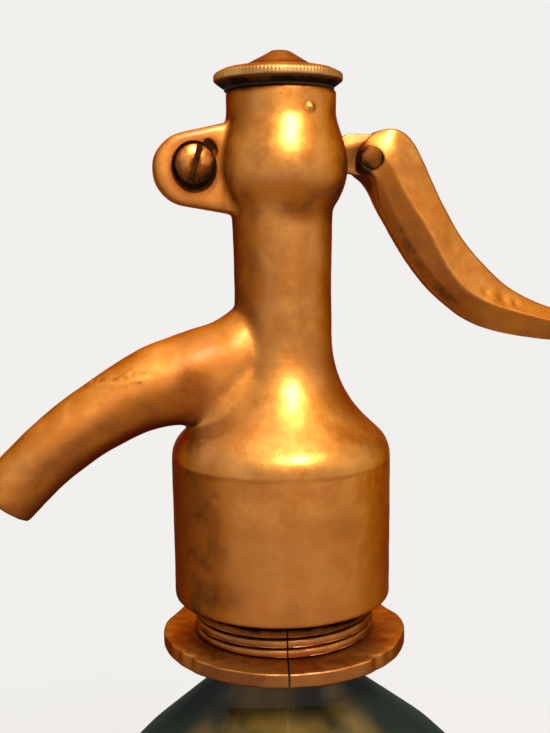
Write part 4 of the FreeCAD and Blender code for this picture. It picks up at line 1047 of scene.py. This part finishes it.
finished(screw, "slotted_screw", screw_brass, "siphon", ["pivot_screw"], 40, screw_grime_and_shade)
arm_brass = metal(
    "arm_brass", 0.03 * mm, (0.3, 0.2, 0.1, 1), bright=(0.46, 0.165, 0.02, 1), body=(0.31, 0.092, 0.009, 1),
    tarnish=(0.14, 0.04, 0.007, 1), grime=(0.02, 0.008, 0.004, 1), patch_scale=180.0, patch_amount=0.6,
    rough_low=0.36, rough_high=0.5, scratch_amount=0.4, pit_amount=0.7)
# Painted shade: the arm is darker on its lower part.
eased("lever_arm", "flat_arm", arm_brass, "lever", 0.25,
      lambda at, normal: 0.15 + 0.5 * smooth_step(292.8, 291.2, at.z))
eased("handle_pin", "cross_pin", arm_brass, "lever", 0.25,
      lambda at, normal: 0.7 + 0.6 * noise.noise(at / 1.3))

clear_glass = glass("clear_glass", (0.8, 0.9, 0.88, 1), (0.7, 0.8, 0.76, 1), (0.3, 0.36, 0.34, 0.05),
                    0.02, 0.05 * mm, 60.0)


def plain(name, colour, rough, metallic, bump, scale, shine=0.5):
    """A soft or drawn material with a fine grain."""
    material, tree = new_material(name)
    place = add_node(tree, "ShaderNodeTexCoord").outputs["Object"]
    grain = noise_at(tree, place, scale, 6.0, 0.6)
    dark = tuple(channel * 0.55 for channel in colour[:3]) + (1,)
    shade = mix(tree, spread(tree, grain, 0.35, 0.65), dark, colour)
    gloss = spread(tree, grain, 0.3, 0.7, rough - 0.08, rough + 0.08)
    raised = add_node(tree, "ShaderNodeBump", {"Height": grain, "Distance": bump, "Strength": 0.8})
    shader = add_node(tree, "ShaderNodeBsdfPrincipled", {
        "Base Color": shade, "Roughness": gloss, "Normal": raised.outputs[0], "Metallic": metallic,
        "Specular IOR Level": shine})
    add_node(tree, "ShaderNodeOutputMaterial", {"Surface": shader.outputs[0]})
    return material


inner_brass = metal(
    "inner_brass", 0.02 * mm, (0.8, 0.7, 0.5, 1), bright=(0.7, 0.45, 0.18, 1), body=(0.56, 0.34, 0.12, 1),
    tarnish=(0.34, 0.18, 0.055, 1), grime=(0.1, 0.05, 0.02, 1), patch_scale=90.0, patch_amount=0.35,
    rough_low=0.25, rough_high=0.4, scratch_amount=0.6, pit_amount=0.2)
rubber = plain("rubber", (0.05, 0.045, 0.045, 1), 0.7, 0.0, 0.05 * mm, 900.0, 0.3)
leather = plain("leather", (0.03, 0.015, 0.008, 1), 0.85, 0.0, 0.1 * mm, 600.0, 0.1)
spring_wire = plain("spring_wire", (0.55, 0.55, 0.53, 1), 0.3, 1.0, 0.01 * mm, 1500.0)
finishes = (
    (inner_brass, "inner_brass", ("gland_nut", "packing_washer", "plunger_head", "tube_holder",
                                  "tube_nut", "valve_nut", "valve_plate", "valve_seat", "valve_stem")),
    (rubber, "rubber", ("neck_gasket", "tube_seal", "valve_disc")),
    (leather, "leather", ("cap_washer", "cup_leather")),
    (spring_wire, "spring_wire", ("return_spring",)),
    (clear_glass, "clear_glass", ("dip_tube",)),
)
for material, slot_name, nodes in finishes:
    for node in nodes:
        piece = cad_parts[node]
        piece.data.materials.clear()
        piece.data.materials.append(material)

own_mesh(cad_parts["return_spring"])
